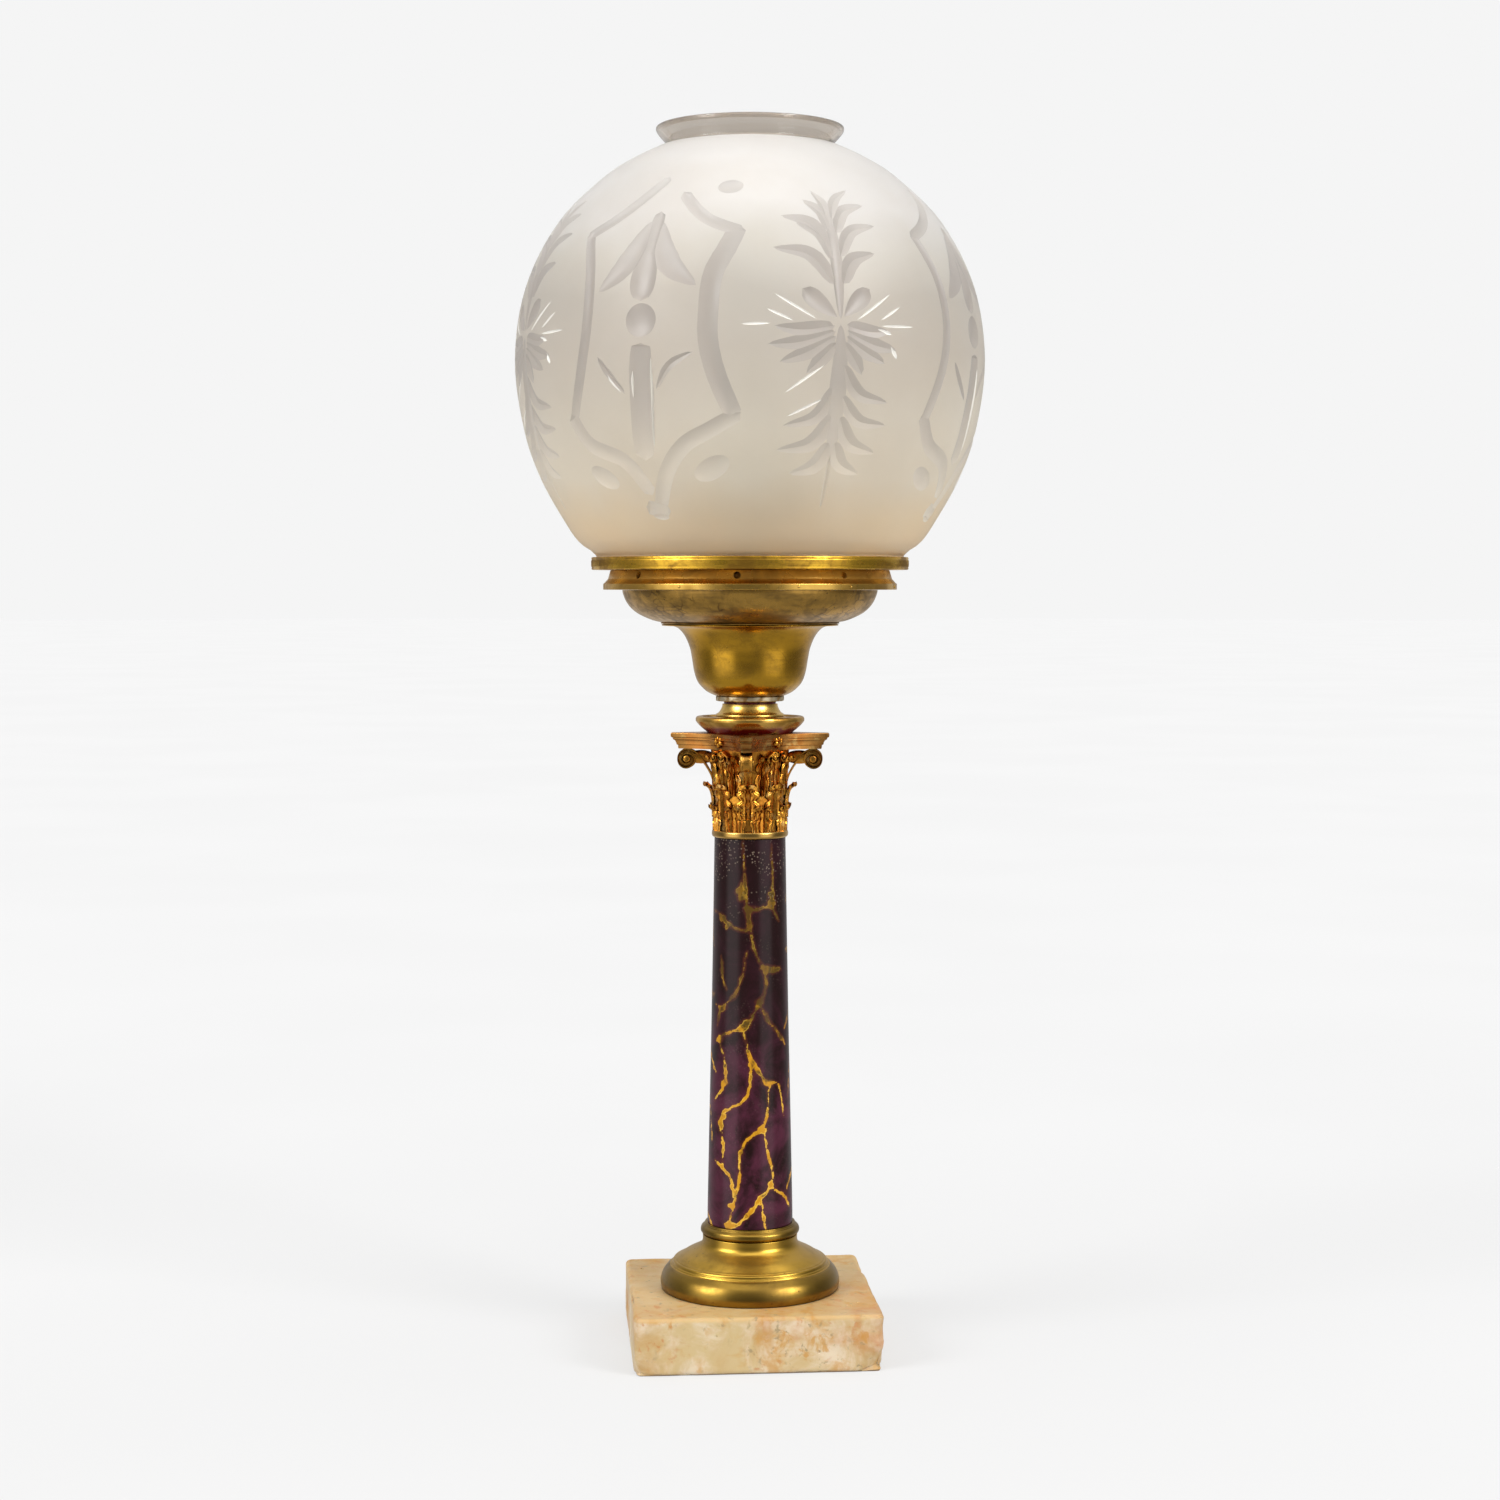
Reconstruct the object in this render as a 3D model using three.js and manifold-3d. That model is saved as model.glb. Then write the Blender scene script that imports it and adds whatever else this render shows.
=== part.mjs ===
// Oil lamp of the solar kind: stone plinth, brass foot, painted column, gilt Corinthian capital,
// brass font with a central draught burner, and a cut glass globe on a vented ring.
// Lengths are millimetres, +Z is up, and the origin is on the floor under the lamp's axis.
import * as THREE from 'three';
import { mergeVertices } from 'three/addons/utils/BufferGeometryUtils.js';
import Module from 'manifold-3d';

const wasm = await Module();
wasm.setup();

// Fits between pieces
const seatGap = 0.2;
const boreClearance = 0.6;
const runClearance = 0.5;
const cutOverrun = 1.5;

// Stone plinth
const plinthSide = 127;
const plinthHeight = 29.3;
const plinthCorner = 2.6;
const plinthEdge = 1.6;
const counterboreDepth = 14;
const counterboreClearance = 2.5;

// Tie rod with its washer and nuts
const rodRadius = 3.8;
const rodStickOut = 1.8;
const threadClearance = 0.25;
const washerRadius = 12;
const washerThickness = 1.6;
const nutWall = 3.2;
const nutHeight = 5;

// Spun brass foot and the bead ring on it
const footRadius = 47;
const footHeight = 28;
const footWall = 1.6;
const footRimWidth = 3;
const footNeckLip = 1.2;
const baseBeadHeight = 6.2;
const baseBeadSwell = 2.3;

// Painted column and the astragal on it
const columnFootRadius = 22.3;
const columnTopRadius = 18.5;
const columnHeight = 202.2;
const columnWall = 1.6;
const columnFootLip = 1.3;
const astragalHeight = 4;
const astragalSwell = 1.4;

// Gilt Corinthian capital
const capitalHeight = 48.1;
const abacusHalfDiagonal = 41.2;
const abacusWaist = 22.8;
const abacusCornerCut = 3;
const abacusLip = 2.2;
const abacusHeight = 6.3;
const lowerLeafReach = 3.2;
const upperLeafReach = 5.2;
const leafThickness = 2.6;
const voluteRadius = 5.5;
const voluteWidth = 6;
const voluteEyeRadius = 1.7;
const voluteEyeHeight = 0.8;
const helixRadius = 2.7;
const fleuronRadius = 3.8;

// Socle dish and spool
const socleRimRadius = 28.3;
const socleFootRadius = 22;
const socleHeight = 10.3;
const socleRecess = 1;
const spoolFootRadius = 17.8;
const spoolTopRadius = 14.4;
const spoolHeight = 6.2;

// Collar under the font, with air holes in its floor
const collarAirGap = 1.6;
const collarHeight = 2.4;
const collarFloor = 1.1;
const collarWall = 1.3;
const collarHoleRadius = 1.7;

// Oil font: bell, bowl and top plate
const fontNeckRadius = 17.7;
const bellRimRadius = 46;
const bellHeight = 36.4;
const bowlRadius = 66.2;
const bowlHeight = 17.3;
const fontWall = 0.9;
const seamFlange = 4;
const fontTopThickness = 1.2;

// Vented band and shade ring
const flangeOverhang = 9.8;
const flangeEdgeHeight = 3;
const bandStep = 3;
const bandHeight = 10;
const bandWall = 1.2;
const bandLedge = 5.7;
const ventRadius = 1.8;
const ventHeight = 7.3;
const ringOverhang = 6.2;
const ringHeight = 8;
const ringFloor = 1.5;
const ringLip = 1.8;
const ringLedge = 8.8;
const ringEdge = 0.8;

// Glass globe
const globeClearance = 1;
const globeWall = 2.6;
const globeMaxRadius = 120.8;
const globeFitterHeight = 5.5;
const globeBellyHeight = 100;
const globeDomeHeight = 110.2;
const globeNeckRadius = 41.9;
const globeRimFlare = 6.5;
const globeRimHeight = 9.1;

// Burner: air tube, wick, raiser sleeve and outer tube
const draughtInnerRadius = 7.4;
const draughtWall = 1.4;
const draughtClearance = 5;
const draughtFlange = 1;
const wickThickness = 2;
const tubeWall = 0.8;
const feedHoleRadius = 2.2;
const burnerRise = 29.7;
const sleeveFootGap = 6;
const sleeveRise = 6.5;
const wickRecess = 2.4;
const carrierLift = 10;
const carrierHeight = 6;
const pinRadius = 1;
const grooveDepth = 0.8;
const groovePitch = 12;

// Chimney, its gallery and the deflector
const galleryThickness = 1.4;
const galleryHubWall = 2.4;
const galleryCupHeight = 9;
const galleryHoleRadius = 2.1;
const deflectorWall = 0.8;
const deflectorHeight = 17;
const deflectorMouthClearance = 1.2;
const chimneyBaseRadius = 30;
const chimneyTopRadius = 17;
const chimneyBaseHeight = 22;
const chimneyShoulderHeight = 26;
const chimneyStackHeight = 124;
const chimneyWall = 1.6;

// Counts and turns
const fineSteps = 32;
const roundSteps = 24;
const smallSteps = 16;
const holeSteps = 8;
const fleuronRings = 5;
const leafCount = 8;
const cornerCount = 4;
const ventCount = 8;
const collarHoleCount = 6;
const feedHoleCount = 4;
const galleryHoleCount = 8;
const grooveSteps = 36;
const wickTurnDegrees = 330;
const capitalTurnDegrees = 37.4;
const ventTurnDegrees = 35.4;

const turnOf = (degrees) => THREE.MathUtils.degToRad(degrees);
const fullTurn = 2 * Math.PI;
const quarterTurn = Math.PI / 2;
const at = (radius, height) => new THREE.Vector2(radius, height);
const smooth = (points, steps) => new THREE.SplineCurve(points).getPoints(steps);

// Outline points from rows of [radius share, height share], between two radii and over a height.
function outlineFrom(shares, zeroRadius, oneRadius, height, base = 0) {
  return shares.map(([out, up]) => at(zeroRadius + out * (oneRadius - zeroRadius), base + up * height));
}

// The same line moved towards the axis by a wall, for an outline that runs upwards on the outside.
function inset(points, wall) {
  return points.map((point, index) => {
    const before = points[Math.max(index - 1, 0)];
    const after = points[Math.min(index + 1, points.length - 1)];
    const along = after.clone().sub(before).normalize();
    return at(point.x - along.y * wall, point.y + along.x * wall);
  });
}

// Every second point of a line with both its ends, for walls that nobody sees.
function coarse(points) {
  return points.filter((point, index) => index % 2 === 0 || index === points.length - 1);
}

function radiusAt(points, height) {
  const index = points.findIndex((point) => point.y >= height);
  const upper = points[Math.max(index, 1)];
  const lower = points[Math.max(index, 1) - 1];
  return THREE.MathUtils.mapLinear(height, lower.y, upper.y, lower.x, upper.x);
}

function welded(geometry) {
  geometry.deleteAttribute('normal');
  geometry.deleteAttribute('uv');
  return mergeVertices(geometry);
}

// A ring turned about Z from an outline that runs round counterclockwise, radius across, height up.
function turned(outline, steps) {
  const geometry = new THREE.LatheGeometry([...outline, outline[0].clone()], steps);
  return welded(geometry.rotateX(quarterTurn));
}

function tube(innerRadius, outerRadius, height, steps, base = 0) {
  const top = base + height;
  const outer = [at(outerRadius, base), at(outerRadius, top)];
  return turned([at(innerRadius, base), ...outer, at(innerRadius, top)], steps);
}

function rodAlongZ(radius, height, steps, base = 0) {
  const geometry = new THREE.CylinderGeometry(radius, radius, height, steps).rotateX(quarterTurn);
  return geometry.translate(0, 0, base + height / 2);
}

// A round bar that lies along X from one radius to another at a height.
function rodAlongX(radius, from, to, height, steps) {
  const geometry = new THREE.CylinderGeometry(radius, radius, to - from, steps).rotateZ(quarterTurn);
  return geometry.translate((from + to) / 2, 0, height);
}

// A closed skin over rings of points, each ring as long as the next.
function loft(rings) {
  const size = rings[0].length;
  const places = rings.flat().flatMap((place) => [place.x, place.y, place.z]);
  const faces = [];
  for (let side = 0; side < size; side += 1) {
    const next = (side + 1) % size;
    for (let ring = 0; ring < rings.length - 1; ring += 1) {
      const low = ring * size;
      const high = low + size;
      faces.push(low + side, low + next, high + next, low + side, high + next, high + side);
    }
  }
  const last = (rings.length - 1) * size;
  for (let side = 1; side < size - 1; side += 1) {
    faces.push(0, side + 1, side, last, last + side, last + side + 1);
  }
  const geometry = new THREE.BufferGeometry();
  geometry.setAttribute('position', new THREE.Float32BufferAttribute(places, 3));
  return geometry.setIndex(faces);
}

function solid(geometry) {
  const merged = geometry.getAttribute('normal') ? welded(geometry) : geometry;
  const vertProperties = new Float32Array(merged.getAttribute('position').array);
  const triVerts = new Uint32Array(merged.getIndex().array);
  return new wasm.Manifold(new wasm.Mesh({ numProp: 3, vertProperties, triVerts }));
}

function shapeOf(manifold) {
  const mesh = manifold.getMesh();
  const geometry = new THREE.BufferGeometry();
  geometry.setAttribute('position', new THREE.BufferAttribute(mesh.vertProperties, 3));
  return geometry.setIndex(new THREE.BufferAttribute(mesh.triVerts, 1));
}

// Copies of a geometry turned evenly about Z, from a first angle on.
function around(geometry, count, firstAngle = 0) {
  return Array.from({ length: count }, (unused, index) => (
    solid(geometry.clone().rotateZ(firstAngle + index * fullTurn / count))));
}

const cut = (geometry, tools) => shapeOf(tools.reduce((rest, tool) => rest.subtract(tool), solid(geometry)));
const join = (geometry, added) => shapeOf(added.reduce((whole, piece) => whole.add(piece), solid(geometry)));

// Heights above the floor, from the bottom up
const footBase = plinthHeight + seatGap;
const beadBase = footBase + footHeight + seatGap;
const columnBase = beadBase + baseBeadHeight + seatGap;
const astragalBase = columnBase + columnHeight + seatGap;
const capitalBase = astragalBase + astragalHeight + seatGap;
const socleBase = capitalBase + capitalHeight + seatGap;
const spoolBase = socleBase + socleHeight + seatGap;
const collarBase = spoolBase + spoolHeight + collarAirGap;
const bellBase = collarBase + collarHeight + seatGap;
const topNutBase = collarBase + collarFloor + seatGap;
const rodTop = topNutBase + nutHeight + rodStickOut;
const bowlBase = bellBase + bellHeight + fontWall + seatGap;
const bowlTop = bowlBase + bowlHeight;
const bandBase = bowlTop + seatGap;
const ringBase = bandBase + bandHeight + seatGap;
const globeBase = ringBase + ringFloor + seatGap;
const draughtBase = rodTop + draughtClearance;
const burnerBase = draughtBase + draughtFlange + seatGap;
const burnerMouth = bowlTop + burnerRise;
const sleeveBase = burnerBase + sleeveFootGap;
const sleeveTop = burnerMouth + sleeveRise;
const carrierBase = sleeveBase + carrierLift;
const wickBase = carrierBase + carrierHeight + seatGap;
const wickTop = sleeveTop - wickRecess;
const galleryBase = burnerMouth + seatGap;
const chimneyBase = galleryBase + galleryThickness + seatGap;
const washerBase = counterboreDepth - seatGap - washerThickness;
const rodNutBase = washerBase - seatGap - nutHeight;
const rodBottom = rodNutBase - rodStickOut;

// Radii that follow from each other
const rodBore = rodRadius + boreClearance;
const counterboreRadius = washerRadius + counterboreClearance;
const beadRadius = columnFootRadius + columnFootLip;
const flangeRadius = bowlRadius + flangeOverhang;
const bandRadius = flangeRadius - bandStep;
const ringRadius = flangeRadius + ringOverhang;
const fitterRadius = ringRadius - ringLip - globeClearance;
const draughtRadius = draughtInnerRadius + draughtWall;
const wickInnerRadius = draughtRadius + runClearance;
const wickRadius = wickInnerRadius + wickThickness;
const sleeveInnerRadius = wickRadius + runClearance;
const sleeveRadius = sleeveInnerRadius + tubeWall;
const burnerInnerRadius = sleeveRadius + runClearance;
const burnerRadius = burnerInnerRadius + tubeWall;
const hubInnerRadius = sleeveRadius + seatGap;
const hubRadius = hubInnerRadius + galleryHubWall;
const cupInnerRadius = chimneyBaseRadius + runClearance;
const deflectorRadius = chimneyBaseRadius - chimneyWall - runClearance;

// Finishes
const finish = (color, roughness, metalness, opacity = 1) => (
  new THREE.MeshStandardMaterial({ color, roughness, metalness, opacity, transparent: opacity < 1 }));
const marble = finish(0xd0bf9f, 0.45, 0);
const iron = finish(0x4f4b47, 0.6, 0.9);
const satinBrass = finish(0xa5925c, 0.38, 0.9);
const paint = finish(0x452a27, 0.2, 0.1);
const gilt = finish(0xcb8a35, 0.35, 0.95);
const lacquer = finish(0x9a6a38, 0.4, 0.8);
const wornBrass = finish(0x8d7845, 0.5, 0.85);
const tin = finish(0xb4afa2, 0.5, 0.8);
const frostedGlass = finish(0xddd3c6, 0.5, 0, 0.8);
const clearGlass = finish(0xe8ece8, 0.05, 0, 0.3);
const cotton = finish(0xe9e0cf, 0.95, 0);

const lamp = new THREE.Group();

function place(name, geometry, material, height, parent = lamp) {
  const mesh = new THREE.Mesh(geometry, material);
  mesh.name = name;
  mesh.position.z = height;
  parent.add(mesh);
}

// Square slab with rounded corners and edges, a bore for the rod and a counterbore for its nut.
function plinth() {
  const half = plinthSide / 2;
  const centre = half - plinthCorner;
  const outline = new THREE.Shape();
  for (let corner = 0; corner < cornerCount; corner += 1) {
    const start = corner * quarterTurn;
    const middle = start + quarterTurn / 2;
    const across = Math.sign(Math.cos(middle)) * centre;
    const along = Math.sign(Math.sin(middle)) * centre;
    outline.absarc(across, along, plinthCorner, start, start + quarterTurn, false);
  }
  const slab = new THREE.ExtrudeGeometry(outline, {
    depth: plinthHeight - 2 * plinthEdge,
    bevelThickness: plinthEdge,
    bevelSize: plinthEdge,
    bevelOffset: -plinthEdge,
    bevelSegments: 1,
    curveSegments: 2,
  }).translate(0, 0, plinthEdge);
  const bore = rodAlongZ(rodBore, plinthHeight + 2 * cutOverrun, smallSteps, -cutOverrun);
  const counterbore = rodAlongZ(counterboreRadius, counterboreDepth + cutOverrun, roundSteps, -cutOverrun);
  return cut(slab, [solid(bore), solid(counterbore)]);
}

// Roll, step and sweep of the foot up to the neck that carries the bead.
const footShares = [
  [0.973, 0], [1, 0.1], [0.98, 0.206], [0.919, 0.316], [0.828, 0.401], [0.774, 0.437],
  [0.714, 0.445], [0.676, 0.52], [0.602, 0.546], [0.416, 0.645], [0.222, 0.72], [0.068, 0.791],
  [0.005, 0.872], [0, 1],
];
const footHollowShares = [[1, 0], [0.96, 0.26], [0.3, 0.62], [0, 1]];

function foot() {
  const outer = outlineFrom(footShares, beadRadius + footNeckLip, footRadius, footHeight);
  const hollowHeight = footHeight - footWall;
  const hollowNeck = beadRadius - footWall;
  const hollow = outlineFrom(footHollowShares, hollowNeck, footRadius - footRimWidth, hollowHeight);
  const bore = [at(rodBore, footHeight), at(rodBore, hollowHeight)];
  return turned([...outer, ...bore, ...hollow.reverse()], fineSteps);
}

function baseBead() {
  const shares = [[0, 0], [0.75, 0.12], [1, 0.38], [0.85, 0.65], [0, 0.9], [0, 1]];
  const bead = outlineFrom(shares, beadRadius, beadRadius + baseBeadSwell, baseBeadHeight);
  return turned([at(rodBore, 0), ...bead, at(rodBore, baseBeadHeight)], roundSteps);
}

// Taper with a slight swell low down, over a thin wall.
const columnShares = [[1, 0], [1, 0.03], [0.87, 0.15], [0.68, 0.32], [0.39, 0.57], [0, 1]];

function column() {
  const outer = outlineFrom(columnShares, columnTopRadius, columnFootRadius, columnHeight);
  const inner = [outer.at(-1), outer[1], outer[0]].map((point) => at(point.x - columnWall, point.y));
  return turned([...outer, ...inner], roundSteps);
}

function astragal() {
  const shares = [[0.35, 0], [0.9, 0.2], [1, 0.5], [0.9, 0.8], [0.35, 1]];
  const bead = outlineFrom(shares, columnTopRadius, columnTopRadius + astragalSwell, astragalHeight);
  return turned([at(rodBore, 0), ...bead, at(rodBore, astragalHeight)], roundSteps);
}

// Capital: bell, two tiers of leaves, corner volutes, inner helices, hollow sided abacus, fleurons.
const bellShares = [[0, 0], [0.02, 0.3], [0.08, 0.6], [0.35, 0.85], [1, 1]];
const leafRowShares = [
  [0, 0, 0.82, 0.7], [0.02, 0.36, 1, 1], [0.1, 0.68, 0.94, 1],
  [0.42, 0.92, 0.8, 0.95], [0.86, 0.98, 0.6, 0.85], [1, 0.8, 0.28, 0.6],
];
const leafSectionShares = [[1, 0], [0.45, 1], [-0.45, 1], [-1, 0], [-0.45, -1], [0.45, -1]];
const leafWidthShare = 0.84;
const lowerTierShare = 0.26;
const upperTierShare = 0.54;
const upperTierStartShare = 0.17;
const stemStartShare = 0.56;
const stemRootShare = 0.46;
const helixHeightShare = 0.8;
const lowerAbacusShare = 0.925;

const abacusBase = capitalHeight - abacusHeight;
const bellTopRadius = (columnTopRadius + abacusWaist) / 2;
const bellLine = outlineFrom(bellShares, columnTopRadius, bellTopRadius, abacusBase);

function leaf(base, top, reach) {
  const spine = leafRowShares.map(([out, up]) => {
    const height = base + up * (top - base);
    return at(radiusAt(bellLine, Math.min(height, abacusBase)) + out * reach, height);
  });
  const halfWidth = leafWidthShare * Math.PI * columnTopRadius / leafCount;
  const rings = spine.map((middle, row) => {
    const before = spine[Math.max(row - 1, 0)];
    const after = spine[Math.min(row + 1, spine.length - 1)];
    const along = after.clone().sub(before).normalize();
    const [, , widthShare, thicknessShare] = leafRowShares[row];
    return leafSectionShares.map(([across, out]) => {
      const lift = out * thicknessShare * leafThickness / 2;
      const radius = middle.x + along.y * lift;
      return new THREE.Vector3(radius, across * widthShare * halfWidth, middle.y - along.x * lift);
    });
  });
  return loft(rings.map((ring) => ring.reverse()));
}

function volute() {
  const centreOut = abacusHalfDiagonal - abacusCornerCut - voluteRadius;
  const centreUp = abacusBase - voluteRadius;
  const root = columnTopRadius - boreClearance;
  const stem = new THREE.Shape();
  stem.moveTo(root, capitalHeight * stemRootShare);
  stem.quadraticCurveTo(columnTopRadius + voluteRadius, capitalHeight * stemStartShare, centreOut, centreUp);
  stem.lineTo(centreOut, abacusBase);
  stem.quadraticCurveTo(columnTopRadius, abacusBase, root, capitalHeight * stemStartShare);
  const extrusion = { depth: voluteWidth, bevelEnabled: false, curveSegments: 4 };
  const stemSolid = new THREE.ExtrudeGeometry(stem, extrusion)
    .rotateX(quarterTurn).translate(0, voluteWidth / 2, 0);
  const scroll = new THREE.CylinderGeometry(voluteRadius, voluteRadius, voluteWidth, smallSteps)
    .translate(centreOut, 0, centreUp);
  const eyeLength = voluteWidth + 2 * voluteEyeHeight;
  const eye = new THREE.CylinderGeometry(voluteEyeRadius, voluteEyeRadius, eyeLength, holeSteps)
    .translate(centreOut, 0, centreUp);
  return join(stemSolid, [solid(scroll), solid(eye)]);
}

// One layer of the abacus: four hollow sides between cut corners.
function abacusLayer(share, height, base) {
  const reach = share * abacusHalfDiagonal;
  const cornerReach = (reach + abacusCornerCut) * Math.SQRT1_2;
  const pull = 2 * share * abacusWaist - cornerReach;
  const outline = new THREE.Shape();
  for (let corner = 0; corner < cornerCount; corner += 1) {
    const angle = corner * quarterTurn;
    const out = new THREE.Vector2(Math.cos(angle), Math.sin(angle));
    const along = new THREE.Vector2(-out.y, out.x);
    const first = out.clone().multiplyScalar(reach).addScaledVector(along, -abacusCornerCut);
    const second = out.clone().multiplyScalar(reach).addScaledVector(along, abacusCornerCut);
    const nextFirst = along.clone().multiplyScalar(reach).addScaledVector(out, abacusCornerCut);
    const middle = out.clone().add(along).multiplyScalar(pull * Math.SQRT1_2);
    if (corner === 0) outline.moveTo(first.x, first.y);
    outline.lineTo(second.x, second.y);
    outline.quadraticCurveTo(middle.x, middle.y, nextFirst.x, nextFirst.y);
  }
  const layer = new THREE.ExtrudeGeometry(outline, { depth: height, bevelEnabled: false, curveSegments: 6 });
  return solid(layer.translate(0, 0, base));
}

function capital() {
  const bell = turned([...bellLine, at(rodBore, abacusBase), at(rodBore, 0)], roundSteps);
  const leafAngle = fullTurn / leafCount;
  const lowerLeaf = leaf(0, capitalHeight * lowerTierShare, lowerLeafReach);
  const upperLeaf = leaf(capitalHeight * upperTierStartShare, capitalHeight * upperTierShare, upperLeafReach);
  const helixHeight = capitalHeight * helixHeightShare;
  const helix = rodAlongX(helixRadius, columnTopRadius - helixRadius, abacusWaist, helixHeight, holeSteps);
  const left = helix.clone().translate(0, helixRadius + seatGap, 0);
  const right = helix.clone().translate(0, -helixRadius - seatGap, 0);
  const fleuron = new THREE.SphereGeometry(fleuronRadius, holeSteps, fleuronRings)
    .translate(abacusWaist - fleuronRadius / 2, 0, capitalHeight - fleuronRadius);
  const whole = [
    ...around(lowerLeaf, leafCount, leafAngle / 2),
    ...around(upperLeaf, leafCount),
    ...around(volute(), cornerCount),
    ...around(left, cornerCount, quarterTurn / 2),
    ...around(right, cornerCount, quarterTurn / 2),
    ...around(fleuron, cornerCount, quarterTurn / 2),
    abacusLayer(lowerAbacusShare, abacusHeight - abacusLip, abacusBase),
    abacusLayer(1, abacusLip, capitalHeight - abacusLip),
  ];
  const bore = rodAlongZ(rodBore, capitalHeight + 2 * cutOverrun, smallSteps, -cutOverrun);
  const turn = turnOf(capitalTurnDegrees) + quarterTurn / 2;
  return cut(join(bell, whole), [solid(bore)]).rotateZ(turn);
}

// Lacquered dish with a bead rim and a shallow recess round the spool.
function socle() {
  const shares = [[0, 0], [0, 0.16], [0.37, 0.37], [0.73, 0.57], [0.97, 0.76], [1, 0.88], [0.92, 1]];
  const outer = outlineFrom(shares, socleFootRadius, socleRimRadius, socleHeight);
  const floor = socleHeight - socleRecess;
  const recessRadius = socleFootRadius + 2 * socleRecess;
  const top = [at(recessRadius + socleRecess, socleHeight), at(recessRadius, floor)];
  const seat = [at(spoolFootRadius + socleRecess, floor), at(spoolFootRadius, socleHeight)];
  return turned([at(rodBore, 0), ...outer, ...top, ...seat, at(rodBore, socleHeight)], roundSteps);
}

function spool() {
  const shares = [[1, 0], [0.95, 0.14], [0.53, 0.3], [0.24, 0.6], [0, 0.87], [0, 1]];
  const outer = outlineFrom(shares, spoolTopRadius, spoolFootRadius, spoolHeight);
  return turned([at(rodBore, 0), ...outer, at(rodBore, spoolHeight)], roundSteps);
}

function collar() {
  const inner = fontNeckRadius - collarWall;
  const ring = turned([
    at(rodBore, 0), at(fontNeckRadius, 0), at(fontNeckRadius, collarHeight), at(inner, collarHeight),
    at(inner, collarFloor), at(rodBore, collarFloor),
  ], roundSteps);
  const holeReach = (inner + rodRadius + nutWall) / 2;
  const hole = rodAlongZ(collarHoleRadius, collarHeight + 2 * cutOverrun, holeSteps, -cutOverrun);
  return cut(ring, around(hole.translate(holeReach, 0, 0), collarHoleCount));
}

function nut(sides) {
  const blank = rodAlongZ(rodRadius + nutWall, nutHeight, sides);
  const bore = rodAlongZ(rodRadius + threadClearance, nutHeight + 2 * cutOverrun, smallSteps, -cutOverrun);
  return cut(blank, [solid(bore)]);
}

// Bell of the font: a waisted neck, a long swell and a flare out to the seam.
const bellOutlineShares = [
  [0, 0], [0.14, 0.05], [0.235, 0.107], [0.335, 0.2], [0.4, 0.34], [0.445, 0.54],
  [0.485, 0.69], [0.58, 0.86], [0.7, 0.965], [0.82, 1], [1, 1],
];
const bellOuter = outlineFrom(bellOutlineShares, fontNeckRadius, bellRimRadius, bellHeight);
const bellInner = coarse(inset(bellOuter, fontWall));

// Bowl of the font: a flat seam flange and a quarter round up to the rim.
const bowlOutlineShares = [
  [0, 0.02], [0.2, 0.09], [0.44, 0.2], [0.63, 0.32], [0.79, 0.48], [0.91, 0.68], [0.985, 0.9], [1, 1],
];
const bowlFoot = bellRimRadius - seamFlange;
const bowlSide = outlineFrom(bowlOutlineShares, bellRimRadius, bowlRadius, bowlHeight);
const bowlInner = coarse(inset(bowlSide, fontWall));

function bowl() {
  const foot = [at(bowlFoot, 0), at(bellRimRadius - fontWall, 0)];
  const wall = bowlInner.map((point) => at(point.x, Math.min(point.y, bowlHeight)));
  const flangeTop = at(bowlFoot, fontWall);
  return turned([...foot, ...bowlSide, ...wall.reverse(), flangeTop], fineSteps);
}

function fontTop() {
  const radius = radiusAt(bowlInner, bowlHeight - fontTopThickness) - seatGap;
  return tube(burnerRadius + seatGap, radius, fontTopThickness, fineSteps, -fontTopThickness);
}

// Air tube with a flange that closes the bell's neck, and a spiral groove that lifts the wick.
function draughtTube() {
  const flange = radiusAt(bellInner, draughtBase - bellBase) - seatGap;
  const top = wickTop - draughtBase;
  const blank = turned([
    at(draughtInnerRadius, 0), at(flange, 0), at(flange, draughtFlange), at(draughtRadius, draughtFlange),
    at(draughtRadius, top), at(draughtInnerRadius, top),
  ], smallSteps);
  const halfWidth = pinRadius + runClearance;
  const floor = draughtRadius - grooveDepth;
  const outside = draughtRadius + cutOverrun;
  const overrun = halfWidth / draughtRadius;
  const first = carrierBase + carrierHeight / 2 - draughtBase;
  const rings = Array.from({ length: grooveSteps + 1 }, (unused, step) => {
    const angle = THREE.MathUtils.lerp(-overrun, turnOf(wickTurnDegrees) + overrun, step / grooveSteps);
    const height = first + groovePitch * angle / fullTurn;
    const corners = [[floor, -halfWidth], [outside, -halfWidth], [outside, halfWidth], [floor, halfWidth]];
    return corners.map(([radius, up]) => (
      new THREE.Vector3(radius * Math.cos(angle), radius * Math.sin(angle), height + up)));
  });
  return cut(blank, [solid(loft(rings.map((ring) => ring.reverse())))]);
}

function burnerTube() {
  const length = burnerMouth - burnerBase;
  const from = burnerInnerRadius - cutOverrun;
  const hole = rodAlongX(feedHoleRadius, from, burnerRadius + cutOverrun, 2 * feedHoleRadius, holeSteps);
  return cut(tube(burnerInnerRadius, burnerRadius, length, smallSteps), around(hole, feedHoleCount));
}

// Sleeve with one upright slot for the carrier's pin.
function raiserSleeve() {
  const length = sleeveTop - sleeveBase;
  const rise = groovePitch * wickTurnDegrees / 360;
  const pinHeight = carrierBase + carrierHeight / 2 - sleeveBase;
  const slotWidth = 2 * (pinRadius + runClearance);
  const slotHeight = rise + slotWidth;
  const slot = new THREE.BoxGeometry(sleeveRadius, slotWidth, slotHeight)
    .translate(sleeveInnerRadius, 0, pinHeight + rise / 2);
  return cut(tube(sleeveInnerRadius, sleeveRadius, length, smallSteps), [solid(slot)]);
}

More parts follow.
